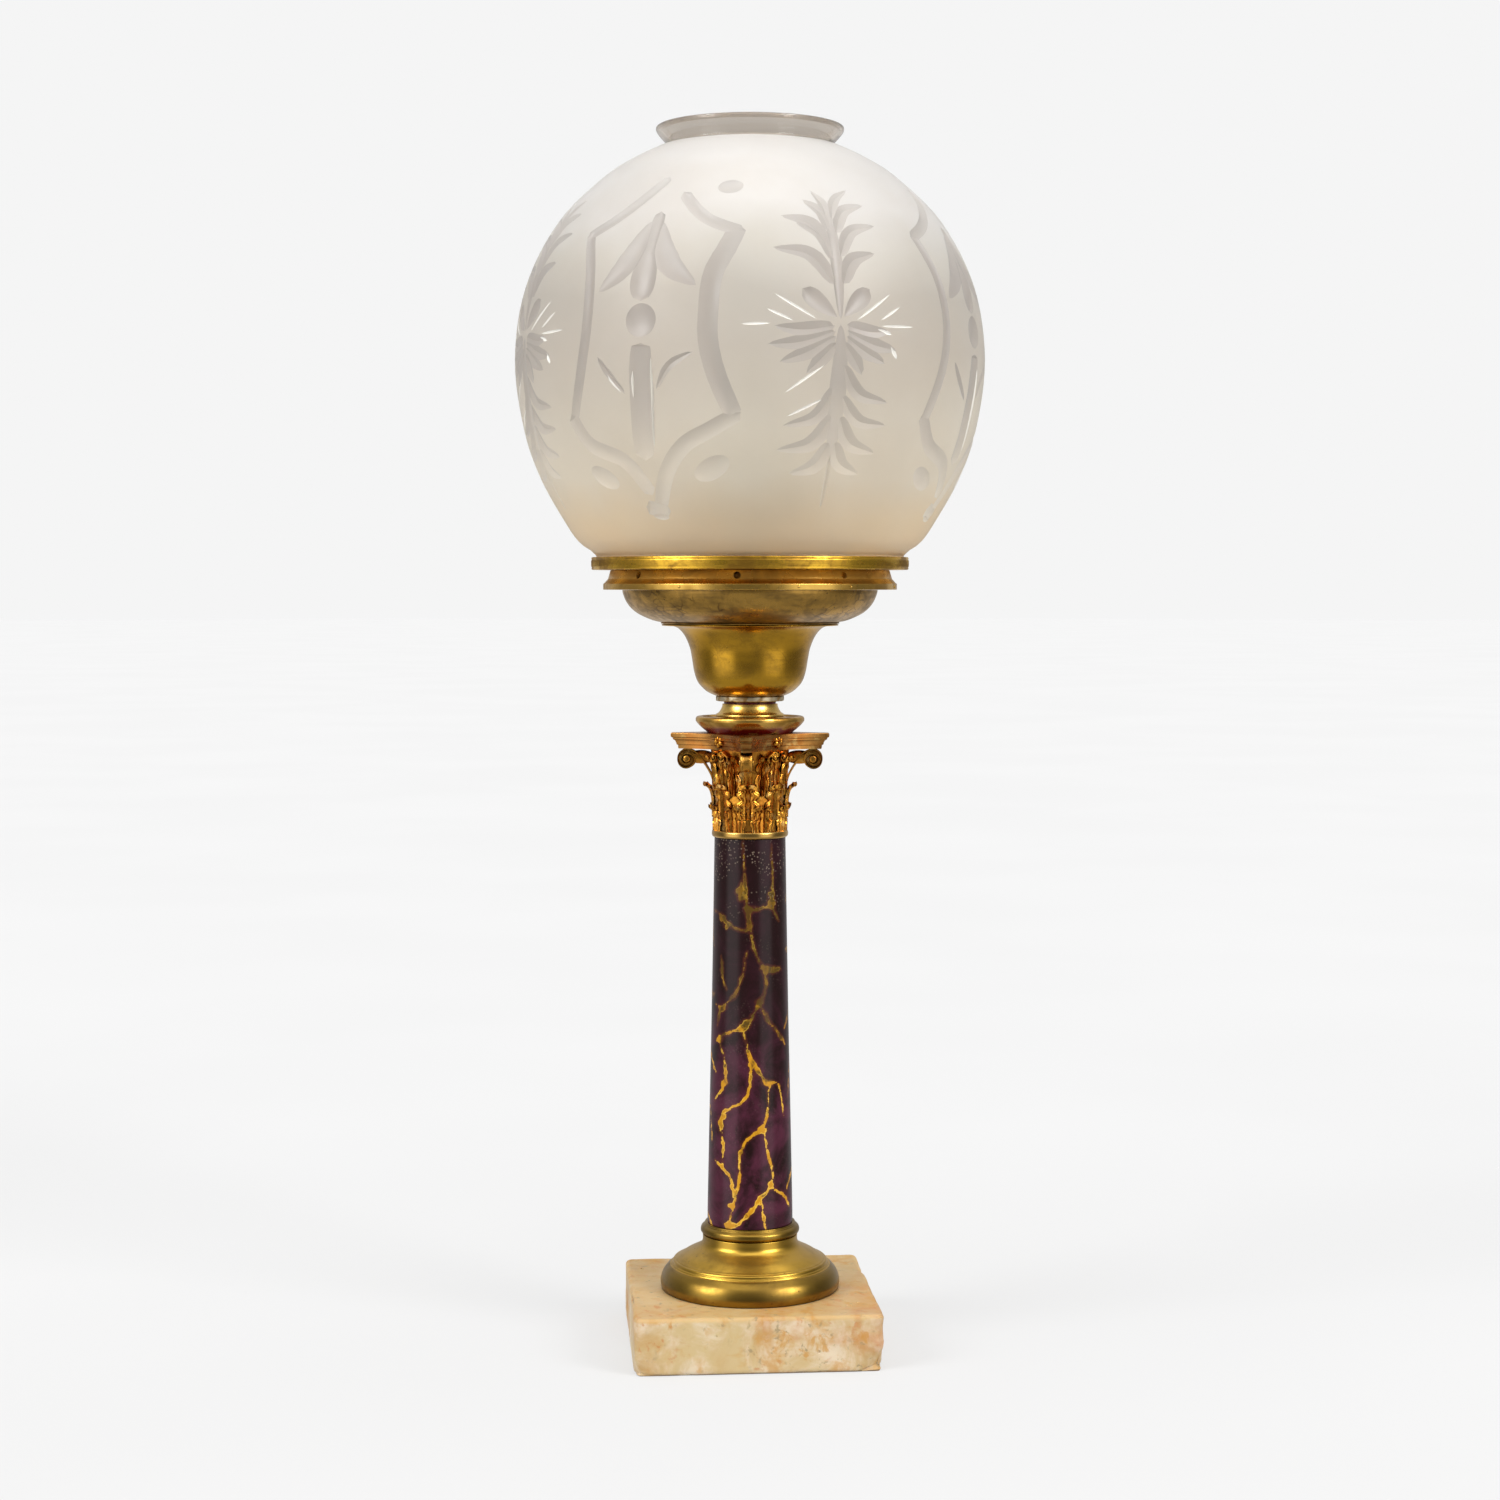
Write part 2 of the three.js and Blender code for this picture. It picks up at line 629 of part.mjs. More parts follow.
// Ring under the wick with a pin inwards in the groove and outwards in the slot.
function wickCarrier() {
  const ring = tube(wickInnerRadius, wickRadius, carrierHeight, smallSteps);
  const from = draughtRadius - grooveDepth / 2;
  const pin = rodAlongX(pinRadius, from, sleeveRadius - seatGap, carrierHeight / 2, holeSteps);
  return join(ring, [solid(pin)]);
}

// Perforated disc with a hub on the sleeve and a cup round the chimney's foot.
function chimneyGallery() {
  const hubHeight = sleeveTop - galleryBase;
  const cupRadius = cupInnerRadius + galleryThickness;
  const disc = turned([
    at(hubInnerRadius, 0), at(cupRadius, 0), at(cupRadius, galleryCupHeight),
    at(cupInnerRadius, galleryCupHeight), at(cupInnerRadius, galleryThickness),
    at(hubRadius, galleryThickness), at(hubRadius, hubHeight), at(hubInnerRadius, hubHeight),
  ], roundSteps);
  const holeReach = (hubRadius + deflectorRadius - deflectorWall) / 2;
  const hole = rodAlongZ(galleryHoleRadius, galleryThickness + 2 * cutOverrun, holeSteps, -cutOverrun);
  return cut(disc, around(hole.translate(holeReach, 0, 0), galleryHoleCount));
}

function deflector() {
  const mouth = wickRadius + deflectorMouthClearance;
  const shares = [[1, 0], [0.98, 0.3], [0.8, 0.66], [0.45, 0.9], [0, 1]];
  const outer = outlineFrom(shares, mouth, deflectorRadius, deflectorHeight);
  return turned([...outer, ...inset(outer, deflectorWall).reverse()], roundSteps);
}

function chimney() {
  const shoulderTop = chimneyBaseHeight + chimneyShoulderHeight;
  const waistRadius = chimneyTopRadius + chimneyWall;
  const shoulderShares = [[1, 0], [0.96, 0.22], [0.5, 0.5], [0.1, 0.8], [0, 1]];
  const shoulder = outlineFrom(
    shoulderShares, waistRadius, chimneyBaseRadius, chimneyShoulderHeight, chimneyBaseHeight,
  );
  const top = at(chimneyTopRadius, shoulderTop + chimneyStackHeight);
  const outer = [at(chimneyBaseRadius, 0), ...shoulder, top];
  return turned([...outer, ...inset(outer, chimneyWall).reverse()], roundSteps);
}

// Flange on the bowl's rim that steps in to an upright band with round air holes.
function ventBand() {
  const bendHeight = ventHeight - ventRadius;
  const outer = [
    at(flangeRadius, 0), at(flangeRadius, flangeEdgeHeight),
    at(bandRadius, bendHeight), at(bandRadius, bandHeight),
  ];
  const inner = [
    at(bandRadius - bandWall, bandHeight), at(bandRadius - bandWall, bendHeight),
    at(flangeRadius - bandWall, flangeEdgeHeight), at(flangeRadius - bandWall, bandWall),
  ];
  const ledge = [at(bowlRadius - bandLedge, bandWall), at(bowlRadius - bandLedge, 0)];
  const hole = rodAlongX(ventRadius, bandRadius - bandStep, bandRadius + bandStep, ventHeight, holeSteps);
  const band = turned([...outer, ...inner, ...ledge], fineSteps);
  return cut(band, around(hole, ventCount, turnOf(ventTurnDegrees)));
}

function shadeRing() {
  const lipInner = ringRadius - ringLip;
  const floorInner = fitterRadius - globeWall - ringLedge;
  return turned([
    at(floorInner, 0), at(ringRadius - ringEdge, 0), at(ringRadius, ringEdge),
    at(ringRadius, ringHeight - ringEdge), at(ringRadius - ringEdge / 2, ringHeight),
    at(lipInner, ringHeight), at(lipInner, ringFloor), at(floorInner, ringFloor),
  ], fineSteps);
}

// Globe: a plain fitter, a conical swell to the belly, a round dome, a tight neck and a flared rim.
const swellShares = [
  [0, 0], [0.05, 0.022], [0.2, 0.064], [0.345, 0.144], [0.68, 0.39], [0.885, 0.634], [1, 1],
];
const domeShares = [
  [1, 0], [0.929, 0.331], [0.719, 0.627], [0.42, 0.84], [0.234, 0.925], [0.08, 0.978], [0, 1],
];
const rimShares = [[0, 0], [0.32, 0.22], [0.9, 0.7], [1, 0.92], [0.83, 1]];
const swellSteps = 8;
const domeSteps = 10;

function globe() {
  const swellTop = globeFitterHeight + globeBellyHeight;
  const neckHeight = swellTop + globeDomeHeight;
  const rimRadius = globeNeckRadius + globeRimFlare;
  const swell = outlineFrom(swellShares, fitterRadius, globeMaxRadius, globeBellyHeight, globeFitterHeight);
  const dome = outlineFrom(domeShares, globeNeckRadius, globeMaxRadius, globeDomeHeight, swellTop);
  const rim = outlineFrom(rimShares, globeNeckRadius, rimRadius, globeRimHeight, neckHeight);
  const outer = [
    at(fitterRadius, 0),
    ...smooth(swell, swellSteps),
    ...smooth(dome, domeSteps).slice(1),
    ...rim.slice(1),
  ];
  const wall = inset(outer, globeWall);
  const inner = [...coarse(wall.slice(0, -rim.length)), ...wall.slice(-rim.length)];
  return turned([...outer, ...inner.reverse()], fineSteps);
}

// The standing lamp
place('plinth', plinth(), marble, 0);
place('rod_washer', tube(rodBore, washerRadius, washerThickness, smallSteps), iron, washerBase);
place('rod_nut', nut(cornerCount), iron, rodNutBase);
place('tie_rod', welded(rodAlongZ(rodRadius, rodTop - rodBottom, smallSteps)), iron, rodBottom);
place('foot', foot(), satinBrass, footBase);
place('base_bead', baseBead(), satinBrass, beadBase);
place('column', column(), paint, columnBase);
place('astragal', astragal(), gilt, astragalBase);
place('capital', capital(), gilt, capitalBase);
place('socle', socle(), lacquer, socleBase);
place('spool', spool(), wornBrass, spoolBase);
place('font_spacer', tube(rodBore, rodRadius + nutWall, collarAirGap - 2 * seatGap, smallSteps), iron,
  collarBase - collarAirGap + seatGap);
place('font_collar', collar(), tin, collarBase);
place('top_nut', nut(collarHoleCount), iron, topNutBase);
place('font_bell', turned([...bellOuter, ...bellInner.toReversed()], fineSteps), wornBrass, bellBase);
place('font_bowl', bowl(), wornBrass, bowlBase);
place('font_top', fontTop(), wornBrass, bowlTop);
place('draught_tube', draughtTube(), satinBrass, draughtBase);
place('burner_tube', burnerTube(), satinBrass, burnerBase);
place('vent_band', ventBand(), wornBrass, bandBase);
place('shade_ring', shadeRing(), wornBrass, ringBase);

// The raiser, which turns, with the wick that it lifts and the chimney that stands in it
const raiser = new THREE.Group();
lamp.add(raiser);
place('raiser_sleeve', raiserSleeve(), satinBrass, sleeveBase, raiser);
place('chimney_gallery', chimneyGallery(), satinBrass, galleryBase, raiser);
place('deflector', deflector(), satinBrass, chimneyBase, raiser);
place('wick_carrier', wickCarrier(), satinBrass, carrierBase, raiser);
place('wick', tube(wickInnerRadius, wickRadius, wickTop - wickBase, smallSteps), cotton, wickBase, raiser);
place('chimney', chimney(), clearGlass, chimneyBase, raiser);

// The globe, which lifts off the ring
const shade = new THREE.Group();
lamp.add(shade);
place('globe', globe(), frostedGlass, globeBase, shade);

export default lamp;
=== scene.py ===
"""Cut glass astral lamp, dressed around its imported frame.

Lengths are metres, +Z is up and the lamp's axis is the Z axis. A height inside a
class is measured from the foot of its own piece, whose place comes from the frame.
"""

import logging
import math
from collections.abc import Callable, Sequence
from dataclasses import dataclass, field
from enum import Enum

import bmesh
import bpy
import numpy as np
from mathutils import Matrix, Vector, noise


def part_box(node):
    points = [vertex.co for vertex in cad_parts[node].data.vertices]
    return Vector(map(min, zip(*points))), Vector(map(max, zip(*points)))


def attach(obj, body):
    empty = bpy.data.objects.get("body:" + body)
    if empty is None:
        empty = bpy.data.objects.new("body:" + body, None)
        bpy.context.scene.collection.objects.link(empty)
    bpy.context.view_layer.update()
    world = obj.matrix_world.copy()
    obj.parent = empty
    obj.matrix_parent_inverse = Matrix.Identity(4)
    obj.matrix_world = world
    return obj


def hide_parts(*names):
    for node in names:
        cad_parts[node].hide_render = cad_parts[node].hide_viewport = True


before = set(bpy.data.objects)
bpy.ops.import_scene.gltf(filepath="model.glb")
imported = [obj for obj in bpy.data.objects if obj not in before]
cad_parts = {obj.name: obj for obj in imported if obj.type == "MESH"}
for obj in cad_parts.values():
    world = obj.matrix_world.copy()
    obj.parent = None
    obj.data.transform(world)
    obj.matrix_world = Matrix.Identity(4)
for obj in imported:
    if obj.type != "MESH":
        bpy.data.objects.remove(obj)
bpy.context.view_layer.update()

LOG = logging.getLogger("lamp")

MM = 0.001
FULL_TURN = math.tau
QUARTER_TURN = math.pi / 2
WELD_REACH = 1e-6
GLOBE_SPAN = (0.405, 0.625)
BAR_SIDES = 20
CREASE = math.radians(34)

Point = tuple[float, float]
Points = tuple[Point, ...]
Rows = tuple[tuple[float, ...], ...]
Outline = list[Point]
Colour = tuple[float, float, float, float]
Shell = bmesh.types.BMesh
Material = bpy.types.Material
Socket = bpy.types.NodeSocket


class Body(Enum):
    """The bodies of the frame that pieces ride on."""

    LAMP = "lamp"
    RAISER = "raiser"
    WICK_LIFT = "wick_lift"
    CHIMNEY = "chimney"
    SHADE = "shade"


# --- outlines


def outline_from(
    shares: Sequence[Point], zero: float, one: float, height: float, base: float = 0.0
) -> Outline:
    """Radii and heights from their shares, for radii zero and one, up from a base."""
    return [(zero + out * (one - zero), base + up * height) for out, up in shares]


def flowing(points: Sequence[Point], steps: int = 6) -> Outline:
    """Runs a smooth line through points.

    Args:
        points: Points in order.
        steps: Pieces of each span.

    Returns:
        The line's points, both ends with them.
    """
    known = [Vector(point) for point in points]
    last = len(known) - 1
    slopes = []
    for index, here in enumerate(known):
        before, after = known[max(index - 1, 0)], known[min(index + 1, last)]
        length = (here - before).length + (after - here).length
        slopes.append((after - before) / length)
    drawn: Outline = []
    for index in range(last):
        start, end = known[index], known[index + 1]
        reach = (end - start).length
        for step in range(steps):
            t = step / steps
            drawn.append(tuple(
                start * (2 * t**3 - 3 * t**2 + 1)
                + slopes[index] * reach * (t**3 - 2 * t**2 + t)
                + end * (3 * t**2 - 2 * t**3)
                + slopes[index + 1] * reach * (t**3 - t**2)
            ))
    return [*drawn, tuple(known[-1])]


def eased(outline: Outline, radius: float, steps: int = 3) -> Outline:
    """Rounds the sharp corners of a closed outline.

    Args:
        outline: Points that run round once, the first not repeated.
        radius: Length of each corner that the rounding takes up.
        steps: Pieces of a rounded corner.

    Returns:
        The outline with its corners rounded.
    """
    least_turn = math.radians(24)
    most_share = 0.42
    soft: Outline = []
    for index, corner in enumerate(outline):
        here = Vector(corner)
        back = Vector(outline[index - 1]) - here
        on = Vector(outline[(index + 1) % len(outline)]) - here
        if math.pi - back.angle(on) < least_turn:
            soft.append(corner)
            continue
        reach = min(radius, most_share * back.length, most_share * on.length)
        first, last = here + back.normalized() * reach, here + on.normalized() * reach
        for step in range(steps + 1):
            t = step / steps
            soft.append(tuple(first * (1 - t) ** 2 + here * 2 * t * (1 - t) + last * t**2))
    return soft


def inset(points: Sequence[Point], wall: float) -> Outline:
    """Moves a line that runs upwards towards the axis.

    Args:
        points: The line's points from the bottom up.
        wall: Distance to move it.

    Returns:
        The moved line.
    """
    moved: Outline = []
    last = len(points) - 1
    for index, point in enumerate(points):
        before, after = points[max(index - 1, 0)], points[min(index + 1, last)]
        along = (Vector(after) - Vector(before)).normalized()
        moved.append((point[0] - along.y * wall, point[1] + along.x * wall))
    return moved


def radius_at(points: Sequence[Point], height: float) -> float:
    """Radius of an outline that runs upwards, at a height."""
    return float(np.interp(height, [p[1] for p in points], [p[0] for p in points]))


def lifted(outline: Sequence[Point], height: float) -> Outline:
    """The outline raised by a height."""
    return [(radius, up + height) for radius, up in outline]


def metres(points: Sequence[Point]) -> Outline:
    """The points in metres, from millimetres."""
    return [(radius * MM, up * MM) for radius, up in points]


def smoothstep(low: float, high: float, value: float) -> float:
    """Soft step from zero at low to one at high."""
    share = min(max((value - low) / (high - low), 0.0), 1.0)
    return share * share * (3 - 2 * share)


# --- shells


def spun(outline: Sequence[Point], steps: int = 128) -> Shell:
    """Spins a closed outline about the lamp's axis.

    Args:
        outline: Points of radius and height that run round once.
        steps: Steps of the full turn.

    Returns:
        A closed ring-shaped shell.
    """
    shell = bmesh.new()
    ring = [shell.verts.new((radius, 0.0, height)) for radius, height in outline]
    edges = [shell.edges.new(pair) for pair in zip(ring, ring[1:] + ring[:1])]
    bmesh.ops.spin(
        shell, geom=ring + edges, angle=FULL_TURN, steps=steps,
        axis=(0, 0, 1), cent=(0, 0, 0), use_merge=True,
    )
    return tidied(shell)


def tidied(shell: Shell) -> Shell:
    """Merges the doubles of a shell, then turns its faces outwards.

    Args:
        shell: The shell.

    Returns:
        The same shell.
    """
    bmesh.ops.remove_doubles(shell, verts=shell.verts[:], dist=WELD_REACH)
    bmesh.ops.recalc_face_normals(shell, faces=shell.faces[:])
    return shell


def moved(shell: Shell, place: Matrix) -> Shell:
    """The shell, moved by a matrix."""
    bmesh.ops.transform(shell, matrix=place, verts=shell.verts[:])
    return shell


def about(turn: float) -> Matrix:
    """A turn about the lamp's axis."""
    return Matrix.Rotation(turn, 4, "Z")


def polar(radius: float, turn: float, height: float) -> Vector:
    """Place at a radius, an angle and a height."""
    return Vector((radius * math.cos(turn), radius * math.sin(turn), height))


def climb(edge: bmesh.types.BMEdge) -> float:
    """Height between the ends of an edge."""
    return abs(edge.verts[0].co.z - edge.verts[1].co.z)


def rod(radius: float, low: float, high: float, sides: int = 32) -> Shell:
    """A closed round bar about the Z axis, from one height to another.

    Args:
        radius: Its radius.
        low: Height of its lower end.
        high: Height of its upper end.
        sides: Number of its sides.

    Returns:
        The bar.
    """
    shell = bmesh.new()
    bmesh.ops.create_cone(
        shell, cap_ends=True, segments=sides, radius1=radius, radius2=radius,
        depth=high - low, matrix=Matrix.Translation((0, 0, (low + high) / 2)),
    )
    return shell


def radial_rod(radius: float, inner: float, outer: float, height: float, turn: float) -> Shell:
    """A closed round bar that runs outwards at a height, turned about the axis."""
    lay = about(turn) @ Matrix.Rotation(QUARTER_TURN, 4, "Y")
    return moved(rod(radius, inner, outer, BAR_SIDES), Matrix.Translation((0, 0, height)) @ lay)


def ring_of_bars(radius: float, reach: float, count: int, low: float, high: float) -> list[Shell]:
    """Upright bars in a ring about the axis, from one height to another.

    Args:
        radius: Radius of a bar.
        reach: Distance of the bars from the axis.
        count: Number of bars.
        low: Height of their lower ends.
        high: Height of their upper ends.

    Returns:
        The bars.
    """
    out = Matrix.Translation((reach, 0, 0))
    turns = [about(index * FULL_TURN / count) for index in range(count)]
    return [moved(rod(radius, low, high, BAR_SIDES), turn @ out) for turn in turns]


def ball(
    radii: Sequence[float], middle: Sequence[float], turn: float = 0.0, rings: int = 10
) -> Shell:
    """A ball stretched to three radii, moved and turned about the axis.

    Args:
        radii: Its radii along X, Y and Z.
        middle: Its middle before the turn.
        turn: The turn about the axis.
        rings: Number of its rings.

    Returns:
        The ball.
    """
    shell = bmesh.new()
    place = about(turn) @ Matrix.Translation(middle) @ Matrix.Diagonal((*radii, 1))
    bmesh.ops.create_uvsphere(
        shell, u_segments=2 * rings, v_segments=rings, radius=1.0, matrix=place,
    )
    return shell


def bent_sheet(
    shell: Shell, across: int, along: int, place: Callable[[float, float], Vector], wall: float
) -> None:
    """Bends a flat grid over a shape and gives it a wall.

    Args:
        shell: Mesh that takes the sheet.
        across: Faces across the grid.
        along: Faces along the grid.
        place: Gives a point's place from -1 to 1 across and 0 to 1 along.
        wall: Thickness of the sheet.
    """
    made = bmesh.ops.create_grid(shell, x_segments=across, y_segments=along, size=0.5)
    for vert in made["verts"]:
        vert.co = place(2 * vert.co.x, vert.co.y + 0.5)
    faces = list({face for vert in made["verts"] for face in vert.link_faces})
    bmesh.ops.solidify(shell, geom=faces, thickness=wall)


def joined(shells: Sequence[Shell]) -> Shell:
    """One mesh that holds all the shells, which are used up.

    Args:
        shells: The shells.

    Returns:
        The new mesh.
    """
    whole = bmesh.new()
    for shell in shells:
        part = bpy.data.meshes.new("part")
        shell.to_mesh(part)
        shell.free()
        whole.from_mesh(part)
        bpy.data.meshes.remove(part)
    return whole


def loose_object(name: str, shell: Shell, finishes: Sequence[Material]) -> bpy.types.Object:
    """An object that holds a shell, which is used up.

    Args:
        name: Its name.
        shell: The shell.
        finishes: Its materials, in slot order.

    Returns:
        The object, linked to the scene.
    """
    mesh = bpy.data.meshes.new(name)
    shell.to_mesh(mesh)
    shell.free()
    for finish in finishes:
        mesh.materials.append(finish)
    held = bpy.data.objects.new(name, mesh)
    bpy.context.scene.collection.objects.link(held)
    return held


def carved(body: Shell, tools: Sequence[Shell], finishes: Sequence[Material] = ()) -> Shell:
    """Takes tools away from a closed shell.

    Args:
        body: Shell to cut, which is used up.
        tools: Closed shells to take away, which are used up.
        finishes: Materials that the faces' indices count in.

    Returns:
        What is left.
    """
    target = loose_object("being_cut", body, finishes)
    cutters = [loose_object("cutter", tool, finishes) for tool in tools]
    for cutter in cutters:
        step = target.modifiers.new("cut", "BOOLEAN")
        step.operation, step.solver, step.object = "DIFFERENCE", "MANIFOLD", cutter
    mesh = bpy.data.meshes.new_from_object(
        target.evaluated_get(bpy.context.evaluated_depsgraph_get())
    )
    rest = bmesh.new()
    rest.from_mesh(mesh)
    bpy.data.meshes.remove(mesh)
    for used in (target, *cutters):
        data = used.data
        bpy.data.objects.remove(used)
        bpy.data.meshes.remove(data)
    return rest


def publish(
    shell: Shell, name: str, finishes: Sequence[Material], node: str,
    body: Body = Body.LAMP, crease: float = CREASE, fine_crease: float = 0.0,
) -> None:
    """Makes a finished shell a piece of the lamp.

    Args:
        shell: Closed mesh in its place, which is used up.
        name: Name of the piece.
        finishes: Materials in the order of the faces' indices.
        node: Frame node that the piece stands for.
        body: Body that the piece rides on.
        crease: Angle from which an edge is shaded sharp.
        fine_crease: The same inside the second finish, where that differs.
    """
    for face in shell.faces:
        face.smooth = True
    for edge in shell.edges:
        used = {face.material_index for face in edge.link_faces}
        limit = fine_crease if fine_crease and used == {1} else crease
        edge.smooth = len(used) == 1 and edge.calc_face_angle(0.0) < limit
    piece = loose_object(name, shell, finishes)
    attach(piece, body.value)
    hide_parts(node)
    LOG.info("%s: %d faces on body %s", name, len(piece.data.polygons), body.value)


def turned(
    name: str, node: str, outline: Sequence[Point], finish: Material,
    steps: int = 144, soft: float = 0.0, body: Body = Body.LAMP,
) -> None:
    """Spins an outline in the place of a frame node, with soft corners, and publishes it."""
    shell = spun(lifted(eased(outline, soft) if soft else outline, base_of(node)), steps)
    publish(shell, name, [finish], node, body)


def dress_node(node: str, finish: Material) -> None:
    """Gives a node of the frame a finish in place of its plain one.

    Args:
        node: Name of the node.
        finish: Its new material.
    """
    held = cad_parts[node]
    held.data.materials.clear()
    held.data.materials.append(finish)
    LOG.info("%s: frame node in %s", node, finish.name)


def base_of(node: str) -> float:
    """Lowest height of a frame node."""
    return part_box(node)[0].z


def height_of(node: str) -> float:
    """Height of a frame node from its lowest to its highest point."""
    low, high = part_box(node)
    return high.z - low.z


# --- finishes


class Bench:
    """Short calls for laying out one material's nodes."""

    def __init__(self, name: str, world: bpy.types.NodeTree | None = None) -> None:
        """Starts an empty material under a name, or clears a world's nodes.

        Args:
            name: Name of the material.
            world: A world's nodes, to lay out those instead.
        """
        if world is None:
            self.material = bpy.data.materials.new(name)
            self.material.use_nodes = True
        self.tree = world or self.material.node_tree
        self.tree.nodes.clear()
        kind = "ShaderNodeOutputWorld" if world else "ShaderNodeOutputMaterial"
        self.output = self.tree.nodes.new(kind)

    def add(self, kind: str, sockets: dict | None = None, **settings: object) -> bpy.types.Node:
        """Adds a node.

        Args:
            kind: Type name of the node.
            sockets: Input names or numbers with a value, or a socket to link.
            settings: Properties of the node.

        Returns:
            The node.
        """
        node = self.tree.nodes.new(kind)
        for name, value in settings.items():
            setattr(node, name, value)
        for name, value in (sockets or {}).items():
            if isinstance(value, Socket):
                self.tree.links.new(value, node.inputs[name])
            else:
                node.inputs[name].default_value = value
        return node

    def places(self, scale: Sequence[float] = (1, 1, 1)) -> Socket:
        """Object coordinates, each times a factor."""
        source = self.add("ShaderNodeTexCoord").outputs["Object"]
        return self.add("ShaderNodeMapping", {"Vector": source, "Scale": scale}).outputs["Vector"]

    def part(self, axis: str) -> Socket:
        """One object coordinate, X, Y or Z."""
        source = self.add("ShaderNodeTexCoord").outputs["Object"]
        return self.add("ShaderNodeSeparateXYZ", {0: source}).outputs[axis]

    def cloud(
        self, scale: float, detail: float = 5.0, rough: float = 0.55, warp: float = 0.0,
        places: Socket | None = None,
    ) -> Socket:
        """Noise between zero and one.

        Args:
            scale: Bumps per metre.
            detail: Octaves of finer noise.
            rough: Strength of the finer octaves.
            warp: How far it is pushed about.
            places: Its coordinates, the object's own by default.

        Returns:
            The result's socket.
        """
        return self.add("ShaderNodeTexNoise", {
            "Vector": places or self.places(), "Scale": scale, "Detail": detail,
            "Roughness": rough, "Distortion": warp,
        }).outputs["Fac"]

    def warped(self, scale: float, reach: float, stretch: Sequence[float] = (1, 1, 1)) -> Socket:
        """Object coordinates pushed about by noise.

        Args:
            scale: Bumps of the push per metre.
            reach: Most that a place is pushed.
            stretch: Factors of the three coordinates.

        Returns:
            The coordinates' socket.
        """
        source = self.places(stretch)
        push = self.add("ShaderNodeTexNoise", {"Vector": source, "Scale": scale, "Detail": 3.0})
        centred = self.arrow("SUBTRACT", {0: push.outputs["Color"], 1: (0.5, 0.5, 0.5)})
        return self.arrow("ADD", {0: source, 1: self.arrow("SCALE", {0: centred, "Scale": reach})})

    def arrow(self, how: str, sockets: dict) -> Socket:
        """Result of an operation on vectors."""
        return self.add("ShaderNodeVectorMath", sockets, operation=how).outputs[0]

    def cells(self, scale: float, feature: str = "F1", places: Socket | None = None) -> Socket:
        """Distance in a field of cells.

        Args:
            scale: Cells per metre.
            feature: Which distance it is.
            places: Its coordinates, the object's own by default.

        Returns:
            The result's socket.
        """
        return self.add(
            "ShaderNodeTexVoronoi", {"Vector": places or self.places(), "Scale": scale},
            feature=feature,
        ).outputs["Distance"]

    def hollows(self, reach: float, samples: int) -> Socket:
        """One on open faces, down to zero deep in hollows narrower than the reach.

        Args:
            reach: Width of the hollows that count.
            samples: Rays from each point.

        Returns:
            The result's socket.
        """
        return self.add(
            "ShaderNodeAmbientOcclusion", {"Distance": reach}, samples=samples,
        ).outputs["AO"]

    def span(
        self, value: Socket, low: float, high: float, start: float = 0.0, end: float = 1.0
    ) -> Socket:
        """Maps a value between two limits softly onto start and end.

        Args:
            value: The value.
            low: Its lower limit.
            high: Its upper limit.
            start: Result at the lower limit.
            end: Result at the upper limit.

        Returns:
            The result's socket.
        """
        return self.add("ShaderNodeMapRange", {
            "Value": value, "From Min": low, "From Max": high, "To Min": start, "To Max": end,
        }, interpolation_type="SMOOTHSTEP").outputs["Result"]

    def sum(self, how: str, first: object, second: object) -> Socket:
        """Result of a mathematical operation on two values."""
        return self.add("ShaderNodeMath", {0: first, 1: second}, operation=how).outputs[0]

    def plus(self, first: object, second: object) -> Socket:
        """Sum of two values."""
        return self.sum("ADD", first, second)

    def times(self, first: object, second: object) -> Socket:
        """Product of two values."""
        return self.sum("MULTIPLY", first, second)

    def blend(self, share: object, first: object, second: object) -> Socket:
        """Colour between two colours.

        Args:
            share: Share of the second colour.
            first: The first colour.
            second: The second colour.

        Returns:
            The result's socket.
        """
        return self.add(
            "ShaderNodeMix", {"Factor": share, "A": first, "B": second}, data_type="RGBA",
        ).outputs["Result"]

    def ramp(self, height: Socket, stops: Sequence[tuple[float, Colour]]) -> Socket:
        """Colour of the globe at a height, from stops between its fitter and its neck.

        Args:
            height: The height.
            stops: Shares of the globe's height with their colours.

        Returns:
            The result's socket.
        """
        level = self.add("ShaderNodeMapRange", {
            "Value": height, "From Min": GLOBE_SPAN[0], "From Max": GLOBE_SPAN[1],
        }).outputs["Result"]
        node = self.add("ShaderNodeValToRGB", {"Fac": level})
        row = node.color_ramp.elements
        for place, colour in stops[len(row):]:
            row.new(place).color = colour
        for element, (place, colour) in zip(row, stops):
            element.position, element.color = place, colour
        return node.outputs["Color"]

    def bump(
        self, height: Socket, depth: float, strength: float = 1.0, under: Socket | None = None
    ) -> Socket:
        """Normal that follows a height.

        Args:
            height: Height from zero to one.
            depth: Depth in metres of a height of one.
            strength: Share of the effect.
            under: Normal of a coarser bump below this one.

        Returns:
            The normal's socket.
        """
        below = {} if under is None else {"Normal": under}
        sockets = {"Height": height, "Distance": depth, "Strength": strength, **below}
        return self.add("ShaderNodeBump", sockets).outputs["Normal"]

    def turning(self, strength: float) -> Socket:
        """Normal of the fine rings that a lathe leaves."""
        lines = self.cloud(1.0, 3, 0.7, 0.0, self.places((12, 12, 2600)))
        return self.bump(lines, 0.00002, strength)

    def surface(self, **sockets: object) -> Material:
        """Ends the material in a principled shader.

        Args:
            sockets: Input names with underscores for spaces, with a value or a socket.

        Returns:
            The material.
        """
        named = {name.replace("_", " "): value for name, value in sockets.items()}
        shader = self.add("ShaderNodeBsdfPrincipled", named)
        self.tree.links.new(shader.outputs["BSDF"], self.output.inputs["Surface"])
        return self.material


